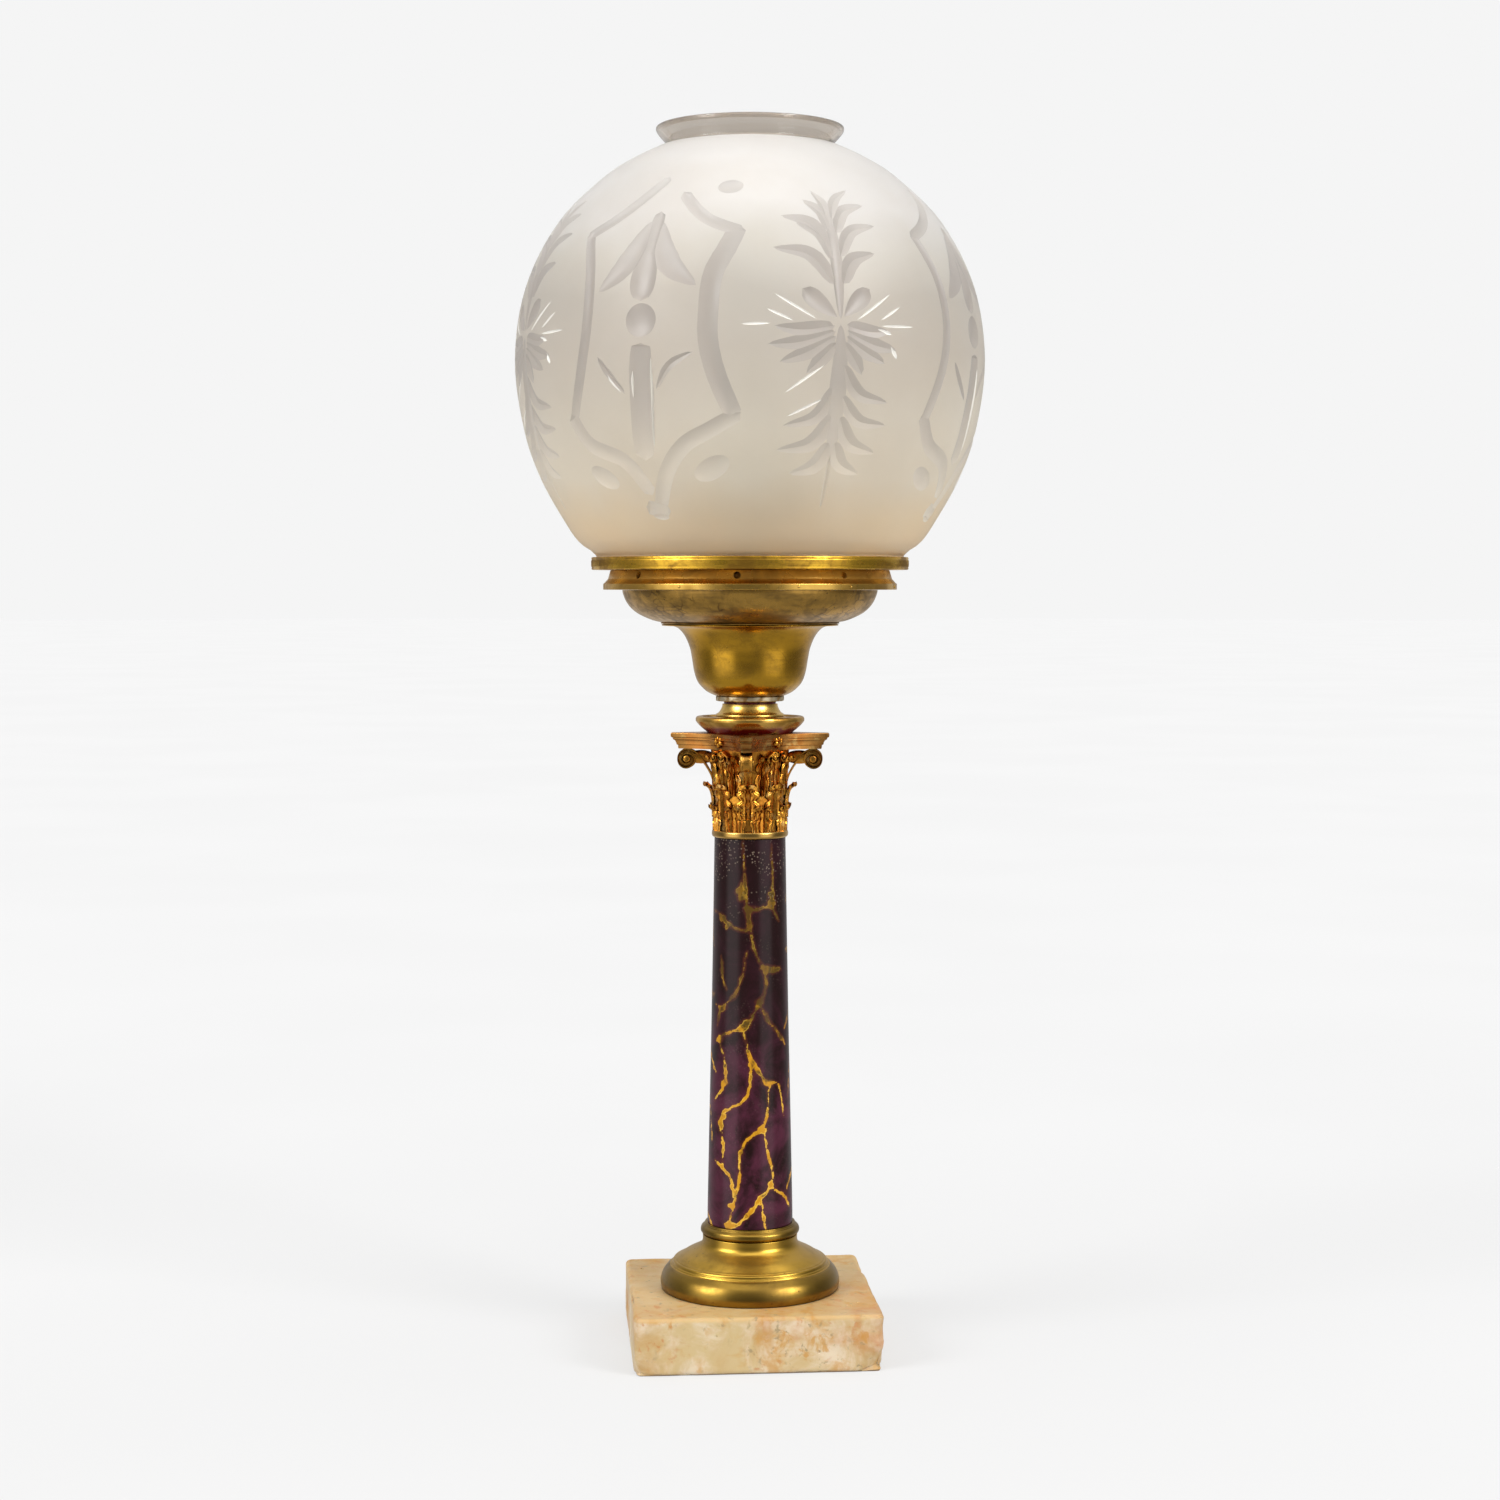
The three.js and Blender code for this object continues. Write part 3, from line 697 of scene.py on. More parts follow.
def rgb(red: float, green: float, blue: float) -> Colour:
    """Colour for a shader from 8 bit values as they show on a screen.

    Args:
        red: Red, 0 to 255.
        green: Green, 0 to 255.
        blue: Blue, 0 to 255.

    Returns:
        The linear colour.
    """
    parts = [value / 255 for value in (red, green, blue)]
    linear = [p / 12.92 if p <= 0.04045 else ((p + 0.055) / 1.055) ** 2.4 for p in parts]
    return (*linear, 1.0)


@dataclass(frozen=True)
class Brass:
    """Turned brass with patina, whose age sets how mottled it is."""

    name: str
    bright: Colour
    dull: Colour
    spots: Colour
    rough: float = 0.26
    rough_patina: float = 0.5
    patina: float = 0.45
    lines: float = 0.5
    scale: float = 1.0
    scratches: float = 0.0

    def material(self) -> Material:
        """Lays out clouded patina, dark specks, scratches and turning lines.

        Returns:
            The material.
        """
        bench = Bench(self.name)
        clouds = bench.cloud(38 * self.scale, 7, 0.66, 0.6)
        streaks = bench.cloud(26 * self.scale, 5, 0.6, 0.3, bench.places((1, 1, 5)))
        mottled = bench.plus(bench.times(clouds, 0.6), bench.times(streaks, 0.4))
        edge = 0.66 - 0.34 * self.patina
        aged = bench.span(mottled, edge - 0.09, edge + 0.11)
        base = bench.blend(aged, self.bright, self.dull)
        tint = bench.span(bench.cloud(9, 3, 0.5), 0.35, 0.7, 0.0, 0.3)
        base = bench.blend(tint, base, self.spots)
        specks = bench.span(bench.cells(260), 0.07, 0.16, 1.0, 0.0)
        scattered = bench.times(specks, bench.span(bench.cloud(30, 2), 0.5, 0.62))
        if self.scratches:
            hair = bench.cells(150, "DISTANCE_TO_EDGE", bench.warped(60, 0.012, (1, 1, 1.6)))
            drawn = bench.times(bench.span(hair, 0.0, 0.09, self.scratches, 0.0),
                                bench.span(bench.cloud(42, 4), 0.5, 0.6))
            scattered = bench.sum("MAXIMUM", scattered, drawn)
        base = bench.blend(bench.times(scattered, 0.8), base, self.spots)
        rough = bench.plus(bench.span(aged, 0.0, 1.0, self.rough, self.rough_patina),
                           bench.times(bench.cloud(420, 2), 0.06))
        dents = bench.bump(bench.cloud(70, 3, 0.5), 0.0005, 0.14, bench.turning(self.lines))
        pits = bench.bump(scattered, 0.00012, 0.5, dents)
        return bench.surface(Base_Color=base, Metallic=1.0, Roughness=rough, Normal=pits)


@dataclass(frozen=True)
class Gilt:
    """Fire gilt casting, with painted shade that turns it brown in its hollows and leaves its high
    places bright.
    """

    name: str = "gilt_casting"
    # The high colour is the gilding's own, and the low colour is painted shade for its hollows.
    high: Colour = rgb(226, 158, 58)
    low: Colour = rgb(92, 30, 10)
    hollow_reach: float = 0.003
    olive_from: float = 0.025
    chased: float = 0.5

    def material(self) -> Material:
        """Lays out gilding with painted shade in its hollows, and a cast grain.

        Returns:
            The material.
        """
        bench = Bench(self.name)
        # Painted shade: ambient occlusion blends the hollows towards the low colour.
        shade = bench.hollows(self.hollow_reach, 8)
        metal = bench.blend(bench.span(shade, 0.3, 0.85), self.low, self.high)
        worn = bench.span(bench.cloud(90, 5, 0.6, 0.4), 0.42, 0.62, 0.0, 0.45)
        metal = bench.blend(worn, metal, rgb(188, 104, 36))
        pale = bench.span(bench.cloud(150, 4, 0.6), 0.56, 0.66, 0.0, 0.6)
        metal = bench.blend(pale, metal, rgb(238, 196, 120))
        olive = bench.span(bench.cloud(34, 3, 0.5), 0.5, 0.68, 0.0, 0.4)
        out = bench.add("ShaderNodeVectorMath", {0: bench.places((1, 1, 0))}, operation="LENGTH")
        reach = self.olive_from
        outer = bench.span(out.outputs["Value"], reach, reach + 0.012, 0.0, 0.35)
        metal = bench.blend(bench.sum("MAXIMUM", olive, outer), metal, rgb(132, 112, 62))
        rough = bench.span(bench.cloud(220, 4), 0.3, 0.7, 0.2, 0.38)
        grain = bench.bump(bench.cloud(900, 4, 0.6), 0.00014, 0.6 * self.chased + 0.1)
        chased = bench.bump(bench.cloud(330, 3, 0.55, 0.8), 0.0007, self.chased, grain)
        return bench.surface(Base_Color=metal, Metallic=1.0, Roughness=rough, Normal=chased)


@dataclass(frozen=True)
class Lacquered:
    """Brass dish with the dark red remains of an old lacquer in its hollows."""

    name: str
    brass: Colour
    lacquer: Colour
    low: float
    high: float
    share: float = 1.0
    worn: Colour = rgb(148, 106, 40)

    def material(self) -> Material:
        """Lays out lacquer between two heights, broken at its edges.

        Returns:
            The material.
        """
        bench = Bench(self.name)
        height = bench.part("Z")
        up = bench.span(height, self.low - 0.0012, self.low + 0.0012)
        down = bench.span(height, self.high - 0.0016, self.high + 0.0016, 1.0, 0.0)
        broken = bench.span(bench.cloud(60, 5, 0.6, 1.0), 0.3, 0.44)
        held = bench.times(bench.times(up, down), bench.times(broken, self.share))
        clouds = bench.span(bench.cloud(42, 5, 0.6, 0.5), 0.36, 0.66)
        metal = bench.blend(clouds, self.brass, self.worn)
        return bench.surface(
            Base_Color=bench.blend(held, metal, self.lacquer),
            Metallic=bench.span(held, 0.0, 1.0, 1.0, 0.12),
            Roughness=bench.span(clouds, 0.0, 1.0, 0.24, 0.44),
            Normal=bench.bump(held, 0.00015, 0.6, bench.turning(0.4)),
        )


@dataclass(frozen=True)
class Stone:
    """Honey coloured alabaster with white patches, ochre spots, rust stains and pits."""

    name: str = "honey_marble"
    pale: Colour = rgb(197, 174, 128)
    honey: Colour = rgb(187, 153, 100)
    white: Colour = rgb(220, 204, 180)
    ochre: Colour = rgb(190, 140, 66)
    rust: Colour = rgb(184, 112, 48)
    grey: Colour = rgb(150, 132, 96)
    top: float = 0.0285

    def material(self) -> Material:
        """Lays out clouds, patches, spots of three sizes, painted shade in the pits and a worn
        polish.

        Returns:
            The material.
        """
        bench = Bench(self.name)
        clouds = bench.span(bench.cloud(26, 7, 0.6, 0.7), 0.34, 0.66)
        base = bench.blend(clouds, self.pale, self.honey)
        # The top face and its edge are tinted a deeper honey and show fewer milky patches.
        top_face = bench.span(bench.part("Z"), self.top - 0.002, self.top, 0.0, 1.0)
        milky = bench.span(bench.cloud(36, 7, 0.62, 0.5), 0.42, 0.66, 0.0, 0.8)
        milky_share = bench.span(top_face, 0.0, 1.0, 1.0, 0.25)
        base = bench.blend(bench.times(milky, milky_share), base, self.white)
        base = bench.blend(bench.times(top_face, 0.5), base, rgb(196, 160, 104))
        stains = bench.span(bench.cloud(22, 6, 0.62, 0.8), 0.52, 0.72, 0.0, 0.5)
        base = bench.blend(stains, base, self.rust)
        for scale, low, colour, share in (
            (62, 0.52, self.ochre, 0.6), (120, 0.54, self.ochre, 0.8), (170, 0.56, self.rust, 0.6),
            (230, 0.58, self.grey, 0.85),
        ):
            spots = bench.span(bench.cloud(scale, 4, 0.6, 0.4), low, low + 0.12, 0.0, share)
            where = bench.span(bench.cloud(scale / 6, 3), 0.4, 0.58)
            base = bench.blend(bench.times(spots, where), base, colour)
        veins = bench.cells(22, "DISTANCE_TO_EDGE", bench.warped(16, 0.03))
        line = bench.times(bench.span(veins, 0.0, 0.06, 1.0, 0.0),
                         bench.span(bench.cloud(18, 3), 0.5, 0.66, 0.0, 0.3))
        base = bench.blend(line, base, self.rust)
        # Painted shade: pits and narrow hollows are darkened to a brown.
        painted_pit_shade = bench.span(bench.hollows(0.0016, 6), 0.25, 0.8, 0.85, 0.0)
        base = bench.blend(painted_pit_shade, base, rgb(70, 48, 30))
        rough = bench.span(bench.cloud(60, 4), 0.3, 0.7, 0.34, 0.55)
        relief = bench.bump(bench.cloud(160, 5, 0.6), 0.0005, 0.25)
        return bench.surface(
            Base_Color=base, Roughness=rough, Subsurface_Weight=0.18,
            Subsurface_Radius=(0.005, 0.003, 0.0015), Subsurface_Scale=1.0,
            Specular_IOR_Level=0.4, Normal=relief,
        )


@dataclass(frozen=True)
class MarbledPaint:
    """Glossy purple brown paint with ochre veins, from the gap stored on the piece."""

    name: str = "marbled_paint"
    attribute: str = "vein_gap"
    ground: Colour = rgb(30, 8, 9)
    purple: Colour = rgb(78, 32, 50)
    olive: Colour = rgb(84, 62, 14)
    ochre: Colour = rgb(196, 138, 22)
    light: Colour = rgb(232, 184, 66)
    foot: float = 0.064
    head: float = 0.266

    def material(self) -> Material:
        """Lays out dark clouded ground, painted veins and a clear varnish.

        Returns:
            The material.
        """
        bench = Bench(self.name)
        clouds = bench.span(bench.cloud(46, 6, 0.62, 0.5), 0.38, 0.64)
        low = bench.span(bench.part("Z"), self.foot + 0.04, self.head - 0.05, 1.0, 0.0)
        shown = bench.times(clouds, bench.span(low, 0.0, 1.0, 0.18, 1.0))
        ground = bench.blend(shown, self.ground, self.purple)
        gap = bench.add("ShaderNodeAttribute", attribute_name=self.attribute).outputs["Fac"]
        fray = bench.span(bench.cloud(420, 4, 0.6), 0.3, 0.7, -0.0003, 0.0003)
        ragged = bench.plus(gap, fray)
        vein = bench.span(ragged, -0.00012, 0.00012, 1.0, 0.0)
        faded = bench.span(bench.cloud(60, 3), 0.32, 0.55, 0.45, 1.0)
        vein = bench.times(vein, bench.sum("MAXIMUM", faded, low))
        tone = bench.plus(bench.span(bench.cloud(130, 4, 0.6, 0.6), 0.35, 0.6),
                         bench.span(low, 0.0, 1.0, -0.72, 0.35))
        ink = bench.blend(bench.span(tone, 0.0, 1.0), self.olive, self.ochre)
        edge = bench.times(bench.span(ragged, -0.0006, -0.0001),
                           bench.span(bench.cloud(90, 3), 0.44, 0.56))
        lit = bench.times(edge, bench.span(low, 0.0, 1.0, 0.25, 0.9))
        ink = bench.blend(lit, ink, self.light)
        halo = bench.span(ragged, 0.0, 0.0013, 0.3, 0.0)
        ground = bench.blend(halo, ground, rgb(112, 56, 22))
        colour = bench.blend(vein, ground, ink)
        high = bench.span(bench.part("Z"), self.head - 0.05, self.head - 0.012, 0.1, 1.0)
        specks = bench.times(bench.span(bench.cells(620), 0.16, 0.34, 1.0, 0.0),
                             bench.span(bench.cloud(60, 4), 0.46, 0.58))
        specks = bench.times(bench.times(specks, high), 0.38)
        colour = bench.blend(specks, colour, rgb(168, 148, 128))
        relief = bench.bump(vein, 0.00008, 0.35)
        waves = bench.bump(bench.cloud(55, 2), 0.0006, 0.1, relief)
        return bench.surface(
            Base_Color=colour, Roughness=0.45, Specular_IOR_Level=0.12, Coat_Weight=0.38,
            Coat_Roughness=0.06, Coat_IOR=1.5, Normal=waves,
        )


@dataclass(frozen=True)
class GroundGlass:
    """Glass with a ground skin that scatters warm white light."""

    name: str = "ground_glass"
    # Tints by height that paint light: the tan near the fitter is a painted reflection of the brass
    # ring, the greyer middle is painted shade and the white near the neck is painted light.
    painted_light_tints: tuple[tuple[float, Colour], ...] = (
        (0.0, rgb(252, 220, 174)), (0.1, rgb(250, 228, 192)), (0.2, rgb(249, 238, 217)),
        (0.32, rgb(242, 233, 216)), (0.48, rgb(226, 217, 204)), (0.6, rgb(220, 213, 202)),
        (0.7, rgb(235, 230, 220)), (0.8, rgb(250, 247, 243)), (0.92, rgb(246, 243, 239)),
    )

    def material(self) -> Material:
        """Lays out a tint by height as painted light, tan near the fitter and white at the neck,
        and a ground grain.

        Returns:
            The material.
        """
        bench = Bench(self.name)
        sway = bench.span(bench.cloud(9, 3), 0.3, 0.7, -0.006, 0.006)
        rise = bench.plus(bench.part("Z"), sway)
        tint = bench.ramp(rise, self.painted_light_tints)
        smoky = bench.span(bench.cloud(16, 4, 0.5), 0.4, 0.7, 0.0, 0.16)
        tint = bench.blend(smoky, tint, rgb(204, 188, 164))
        grain = bench.bump(bench.cloud(2400, 3, 0.6), 0.00004, 0.3)
        return bench.surface(
            Base_Color=tint, Roughness=0.5, Transmission_Weight=0.5, IOR=1.45,
            Specular_IOR_Level=0.4, Normal=grain,
        )


@dataclass(frozen=True)
class CutGlass:
    """Bottom of a wheel cut, half polished, greyer above as painted shade and paler below as
    painted light.
    """

    name: str = "cut_glass"
    # Tints by height: greyer above as painted shade, paler below as painted light.
    painted_light_tints: tuple[tuple[float, Colour], ...] = (
        (0.02, rgb(255, 246, 226)), (0.2, rgb(250, 240, 222)), (0.4, rgb(208, 200, 190)),
        (0.62, rgb(200, 192, 184)), (0.82, rgb(228, 223, 217)), (0.95, rgb(244, 242, 238)),
    )
    rough: float = 0.34
    clear: float = 0.5

    def material(self) -> Material:
        """Lays out faint wheel marks in a half polished glass, tinted by height as painted light
        and shade.

        Returns:
            The material.
        """
        bench = Bench(self.name)
        tint = bench.ramp(bench.part("Z"), self.painted_light_tints)
        smoky = bench.span(bench.cloud(30, 4, 0.5), 0.4, 0.7, 0.0, 0.2)
        tint = bench.blend(smoky, tint, rgb(196, 188, 186))
        marks = bench.bump(bench.cloud(160, 2, 0.5), 0.00008, 0.25)
        rough = bench.span(bench.cloud(90, 3), 0.3, 0.7, self.rough, self.rough + 0.1)
        return bench.surface(
            Base_Color=tint, Roughness=rough, Transmission_Weight=self.clear, IOR=1.45,
            Specular_IOR_Level=0.4, Normal=marks,
        )


@dataclass(frozen=True)
class PolishedGlass:
    """Clear glass, as the wheel and the polish leave it."""

    name: str
    tint: Colour
    rough: float = 0.04
    wave: float = 0.0004
    clear: float = 1.0

    def material(self) -> Material:
        """Lays out the faint waves of the wheel or the blow pipe.

        Returns:
            The material.
        """
        bench = Bench(self.name)
        waves = bench.bump(bench.cloud(60, 2), self.wave, 0.4)
        streaks = bench.span(bench.cloud(30, 3), 0.3, 0.7, self.rough, self.rough + 0.05)
        return bench.surface(
            Base_Color=self.tint, Roughness=streaks, Transmission_Weight=self.clear, IOR=1.5,
            Normal=waves,
        )


@dataclass(frozen=True)
class DullMetal:
    """Iron or tinned brass with blotches, for fixings and soldered edges."""

    name: str
    bright: Colour
    stain: Colour
    rough: float = 0.42
    metal: float = 1.0

    def material(self) -> Material:
        """Lays out blotched metal with a pitted skin.

        Returns:
            The material.
        """
        bench = Bench(self.name)
        blots = bench.span(bench.cloud(120, 6, 0.62, 0.8), 0.4, 0.6)
        colour = bench.blend(blots, self.bright, self.stain)
        pitted = bench.bump(bench.cloud(500, 5, 0.6), 0.00025, 0.5)
        return bench.surface(
            Base_Color=colour, Metallic=self.metal,
            Roughness=bench.span(blots, 0.0, 1.0, self.rough, self.rough + 0.25), Normal=pitted,
        )


@dataclass(frozen=True)
class Cotton:
    """Woven cotton wick, charred along its top."""

    name: str = "cotton_wick"
    charred_from: float = 0.4255

    def material(self) -> Material:
        """Lays out a woven tube with a burnt edge.

        Returns:
            The material.
        """
        bench = Bench(self.name)
        ring = bench.add("ShaderNodeTexWave", {
            "Vector": bench.places(), "Scale": 320.0, "Distortion": 1.2, "Detail": 2.0,
        }, bands_direction="Z").outputs["Fac"]
        thread = bench.times(ring, bench.cloud(900, 2))
        fray = bench.span(bench.cloud(300, 3), 0.3, 0.7, -0.001, 0.001)
        char = bench.plus(bench.part("Z"), fray)
        burnt = bench.span(char, self.charred_from, self.charred_from + 0.0018)
        cloth = bench.blend(thread, rgb(206, 192, 164), rgb(238, 230, 212))
        return bench.surface(
            Base_Color=bench.blend(burnt, cloth, rgb(26, 20, 16)), Roughness=0.95,
            Sheen_Weight=0.2, Normal=bench.bump(thread, 0.0004, 0.7),
        )


def made(finish: object) -> Material:
    """A field that holds the finish's material, made with the set of finishes."""
    return field(default_factory=finish.material)


@dataclass
class Finishes:
    """Every finish of the lamp, made once."""

    marble: Material = made(Stone())
    # The first of the two satin brasses below is a lit copy and the second a darker, shaded copy of
    # one brass: painted light on the foot's upward faces, painted shade on its roll, and the shaded
    # copy also serves the bead ring.
    lit_satin: Material = made(Brass(
        "satin_brass", rgb(206, 164, 66), rgb(164, 130, 54), rgb(120, 92, 44),
        rough=0.27, rough_patina=0.36, patina=0.35, lines=0.35,
    ))
    roll: Material = made(Brass(
        "shaded_satin_brass", rgb(156, 124, 52), rgb(124, 97, 44), rgb(92, 70, 34),
        rough=0.27, rough_patina=0.36, patina=0.35, lines=0.35,
    ))
    bowl: Material = made(Brass(
        "worn_brass", rgb(206, 160, 78), rgb(154, 121, 64), rgb(72, 52, 32),
        rough=0.24, rough_patina=0.36, patina=0.5, lines=0.9, scale=2.2, scratches=0.8,
    ))
    bell: Material = made(Brass(
        "olive_brass", rgb(218, 166, 50), rgb(178, 136, 46), rgb(128, 88, 34),
        rough=0.19, rough_patina=0.27, patina=0.4, lines=0.6, scale=1.6, scratches=0.25,
    ))
    spool: Material = made(Brass(
        "bright_brass", rgb(250, 208, 112), rgb(212, 168, 82), rgb(150, 108, 46),
        rough=0.24, rough_patina=0.32, patina=0.3, lines=0.5,
    ))
    astragal: Material = made(Brass(
        "gilt_ring", rgb(222, 178, 96), rgb(170, 128, 60), rgb(120, 82, 40),
        rough=0.2, rough_patina=0.32, patina=0.4, lines=0.2,
    ))
    ring: Material = made(Brass(
        "milled_brass", rgb(252, 200, 68), rgb(172, 130, 50), rgb(98, 66, 26),
        rough=0.22, rough_patina=0.4, patina=0.52, lines=0.3, scale=2.2, scratches=0.3,
    ))
    burner: Material = made(Brass(
        "burner_brass", rgb(188, 146, 70), rgb(122, 92, 50), rgb(62, 46, 30),
        rough=0.34, rough_patina=0.55, patina=0.6, lines=0.5,
    ))
    gilt: Material = made(Gilt())
    # The moulding's second colour is painted shade in the hollows of the abacus steps.
    moulding: Material = made(Gilt(
        "gilt_moulding", rgb(200, 140, 72), rgb(84, 34, 16), chased=0.06,
    ))
    dish: Material = made(Lacquered(
        "lacquered_brass", rgb(232, 184, 92), rgb(96, 14, 8), base_of("socle"),
        base_of("socle") + 0.0056,
    ))
    lip: Material = made(Lacquered(
        "lacquered_lip", rgb(150, 70, 34), rgb(92, 12, 8), base_of("spool"), base_of("font_bell"),
    ))
    vented: Material = made(Lacquered(
        "vented_brass", rgb(232, 186, 94), rgb(214, 158, 66), base_of("vent_band") + 0.0048,
        base_of("vent_band") + 0.0096, share=0.4, worn=rgb(170, 130, 56),
    ))
    paint: Material = made(MarbledPaint())
    tin: Material = made(DullMetal("tinned_edge", rgb(212, 198, 166), rgb(158, 128, 84)))
    iron: Material = made(DullMetal("iron", rgb(96, 90, 84), rgb(92, 58, 38), rough=0.5))
    ground: Material = made(GroundGlass())
    cut: Material = made(CutGlass())
    # Painted glint: the fine lines are near white and mostly opaque, standing for the light that
    # narrow cuts catch.
    painted_glint: Material = made(CutGlass(
        "painted_glint_glass", ((0.0, rgb(250, 246, 236)), (1.0, rgb(252, 250, 246))), 0.32, 0.15,
    ))
    rim: Material = made(PolishedGlass("polished_glass", rgb(238, 229, 218), 0.05, clear=0.86))
    clear: Material = made(PolishedGlass("chimney_glass", rgb(244, 248, 246), 0.01))
    cotton: Material = made(Cotton())


# --- pieces


@dataclass
class Plinth:
    """Square stone slab with worn edges, chips, pits and a counterbored hole for the rod."""

    finishes: Finishes
    corner: float = 4 * MM
    edge: float = 2.2 * MM
    rounding: int = 4
    cell: float = 2.9 * MM
    sway: float = 0.28 * MM
    chip: float = 0.9 * MM
    bore: float = 4.4 * MM
    counterbore: float = 14.5 * MM
    counterbore_depth: float = 14 * MM
    foot_reach: float = 48 * MM
    knocks: Rows = (
        (63.5, -63.5, 21, 8, 1.5), (63.5, -63.5, 0, 15, 4.4), (-63.5, -63.5, 27, 5, 0.8),
        (-63.5, -63.5, 0, 9, 2.2),
        (20, -63.5, 29.3, 6, 0.7), (-38, -63.5, 0, 7, 0.8), (63.5, 30, 29.3, 7, 0.9),
        (-63.5, 12, 29.3, 6, 0.8), (-10, 63.5, 29.3, 7, 0.9), (63.5, 63.5, 4, 8, 1.4),
    )
    pits: Rows = (
        (47, -44, 29.6, 1.7), (52.5, -38, 29.7, 1.1), (-55, 40, 29.7, 1.3), (-48, -55, 29.8, 0.9),
        (30, -63.9, 11, 1.2), (-22, -63.9, 20, 0.9), (-63.9, -20, 14, 1.3), (63.9, 18, 17, 1.2),
    )

    def build(self) -> None:
        """Shapes, wears, pits and bores the slab."""
        slab = self._block()
        for vert in slab.verts:
            self._wear(vert)
        tools = []
        for across, along, up, radius in self.pits:
            pit = bmesh.new()
            middle = Matrix.Translation(Vector((across, along, up)) * MM)
            bmesh.ops.create_icosphere(pit, subdivisions=2, radius=radius * MM, matrix=middle)
            tools.append(pit)
        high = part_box("plinth")[1].z
        tools.append(rod(self.bore, -self.corner, high + self.corner))
        tools.append(rod(self.counterbore, -self.corner, self.counterbore_depth, 48))
        publish(carved(slab, tools), "plinth_stone", [self.finishes.marble], "plinth")

    def _block(self) -> Shell:
        """The slab with rounded edges, cut into small even faces.

        Returns:
            The slab.
        """
        low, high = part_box("plinth")
        slab = bmesh.new()
        span = Matrix.Diagonal((*(high - low), 1))
        bmesh.ops.create_cube(slab, size=1.0, matrix=Matrix.Translation((low + high) / 2) @ span)
        upright = [edge for edge in slab.edges if climb(edge) > self.corner]
        settings = {"segments": self.rounding, "profile": 0.5, "affect": "EDGES", "material": -1}
        bmesh.ops.bevel(slab, geom=upright, offset=self.corner, **settings)
        level = [edge for edge in slab.edges if climb(edge) < WELD_REACH]
        bmesh.ops.bevel(slab, geom=level, offset=self.edge, **settings)
        for axis in range(3):
            count = round((high - low)[axis] / self.cell)
            for step in range(1, count):
                normal = Vector((0, 0, 0))
                normal[axis] = 1
                bmesh.ops.bisect_plane(
                    slab, geom=slab.verts[:] + slab.edges[:] + slab.faces[:],
                    plane_co=low.lerp(high, step / count), plane_no=normal,
                )
        return tidied(slab)

    def _wear(self, vert: bmesh.types.BMVert) -> None:
        """Moves a point of the slab inwards by sway, wear and knocks.

        Args:
            vert: The point.
        """
        here, out = vert.co.copy(), vert.normal.copy()
        flat = max(abs(part) for part in out)
        edge_share = smoothstep(0.0, 0.25, 1 - flat)
        seat = smoothstep(self.foot_reach, self.foot_reach + self.cell, here.xy.length)
        if out.z > 0 and not seat:
            return
        depth = self.sway * (0.5 + noise.fractal(here * 42, 0.9, 2.0, 4))
        depth += edge_share * self.chip * smoothstep(0.12, 0.5, noise.noise(here * 85))
        for across, along, up, reach, deep in self.knocks:
            away = (here - Vector((across, along, up)) * MM).length / (reach * MM)
            if away < 1:
                depth += deep * MM * (1 - away * away) ** 2
        if out.z < -0.5:
            depth *= edge_share
        vert.co = here - out * max(depth, 0.0)
        vert.co.z = max(vert.co.z, 0.0)


@dataclass
class FootAndBead:
    """Spun foot with a roll, a double step and a sweep, and the bead ring on it."""

    finishes: Finishes
    bore: float = 4.4 * MM
    hollow_neck: float = 22 * MM
    hollow_reach: float = 44 * MM
    wall: float = 1.6 * MM
    soft: float = 0.5 * MM
    roll: Points = (
        (46.3, 0), (47, 2.8), (46.55, 5.77), (45.2, 8.85), (43.2, 11.2), (42, 12.1),
    )
    steps: Points = (
        (41.5, 12.05), (41.15, 12.3), (40.95, 12.9), (40.5, 13.15), (40.35, 14.2), (39.9, 14.75),
        (39.1, 14.8), (38.7, 15.25),
    )
    sweep: Points = (
        (38.0, 15.5), (34.0, 18.06), (29.73, 20.16), (26.31, 22.15), (24.91, 24.42), (24.8, 28),
    )
    hollow: Points = ((0, 1), (0.3, 0.62), (0.96, 0.26), (1, 0))
    bead: Points = (
        (22.6, 0), (23.6, 0), (25.2, 0.55), (25.85, 1.5), (25.9, 2.5), (25.6, 3.7), (24.6, 4.6),
        (24.0, 4.95), (24.05, 5.35), (23.6, 5.6), (23.6, 6.2),
    )

    def build(self) -> None:
        """Turns both pieces."""
        height = height_of("foot")
        roll, steps = flowing(metres(self.roll)), metres(self.steps)
        sweep = flowing(metres(self.sweep))
        top = height - self.wall
        hollow = flowing(outline_from(self.hollow, self.hollow_neck, self.hollow_reach, top), 5)
        outline = [*roll, *steps, *sweep, (self.bore, height), (self.bore, top), *hollow]
        shell = spun(lifted(eased(outline, self.soft), base_of("foot")), 160)
        # The roll below the steps takes the shaded copy of the satin brass and the rest takes the
        # lit copy, as painted shade and painted light for the ways the faces turn.
        split = base_of("foot") + steps[0][1]
        for face in shell.faces:
            face.material_index = int(face.calc_center_median().z < split)
        finishes = [self.finishes.lit_satin, self.finishes.roll]
        publish(shell, "foot_spinning", finishes, "foot")
        bead = metres(self.bead)
        ring = [*bead, (self.bore, bead[-1][1]), (self.bore, 0)]
        turned("bead_ring", "base_bead", ring, self.finishes.roll, soft=self.soft)


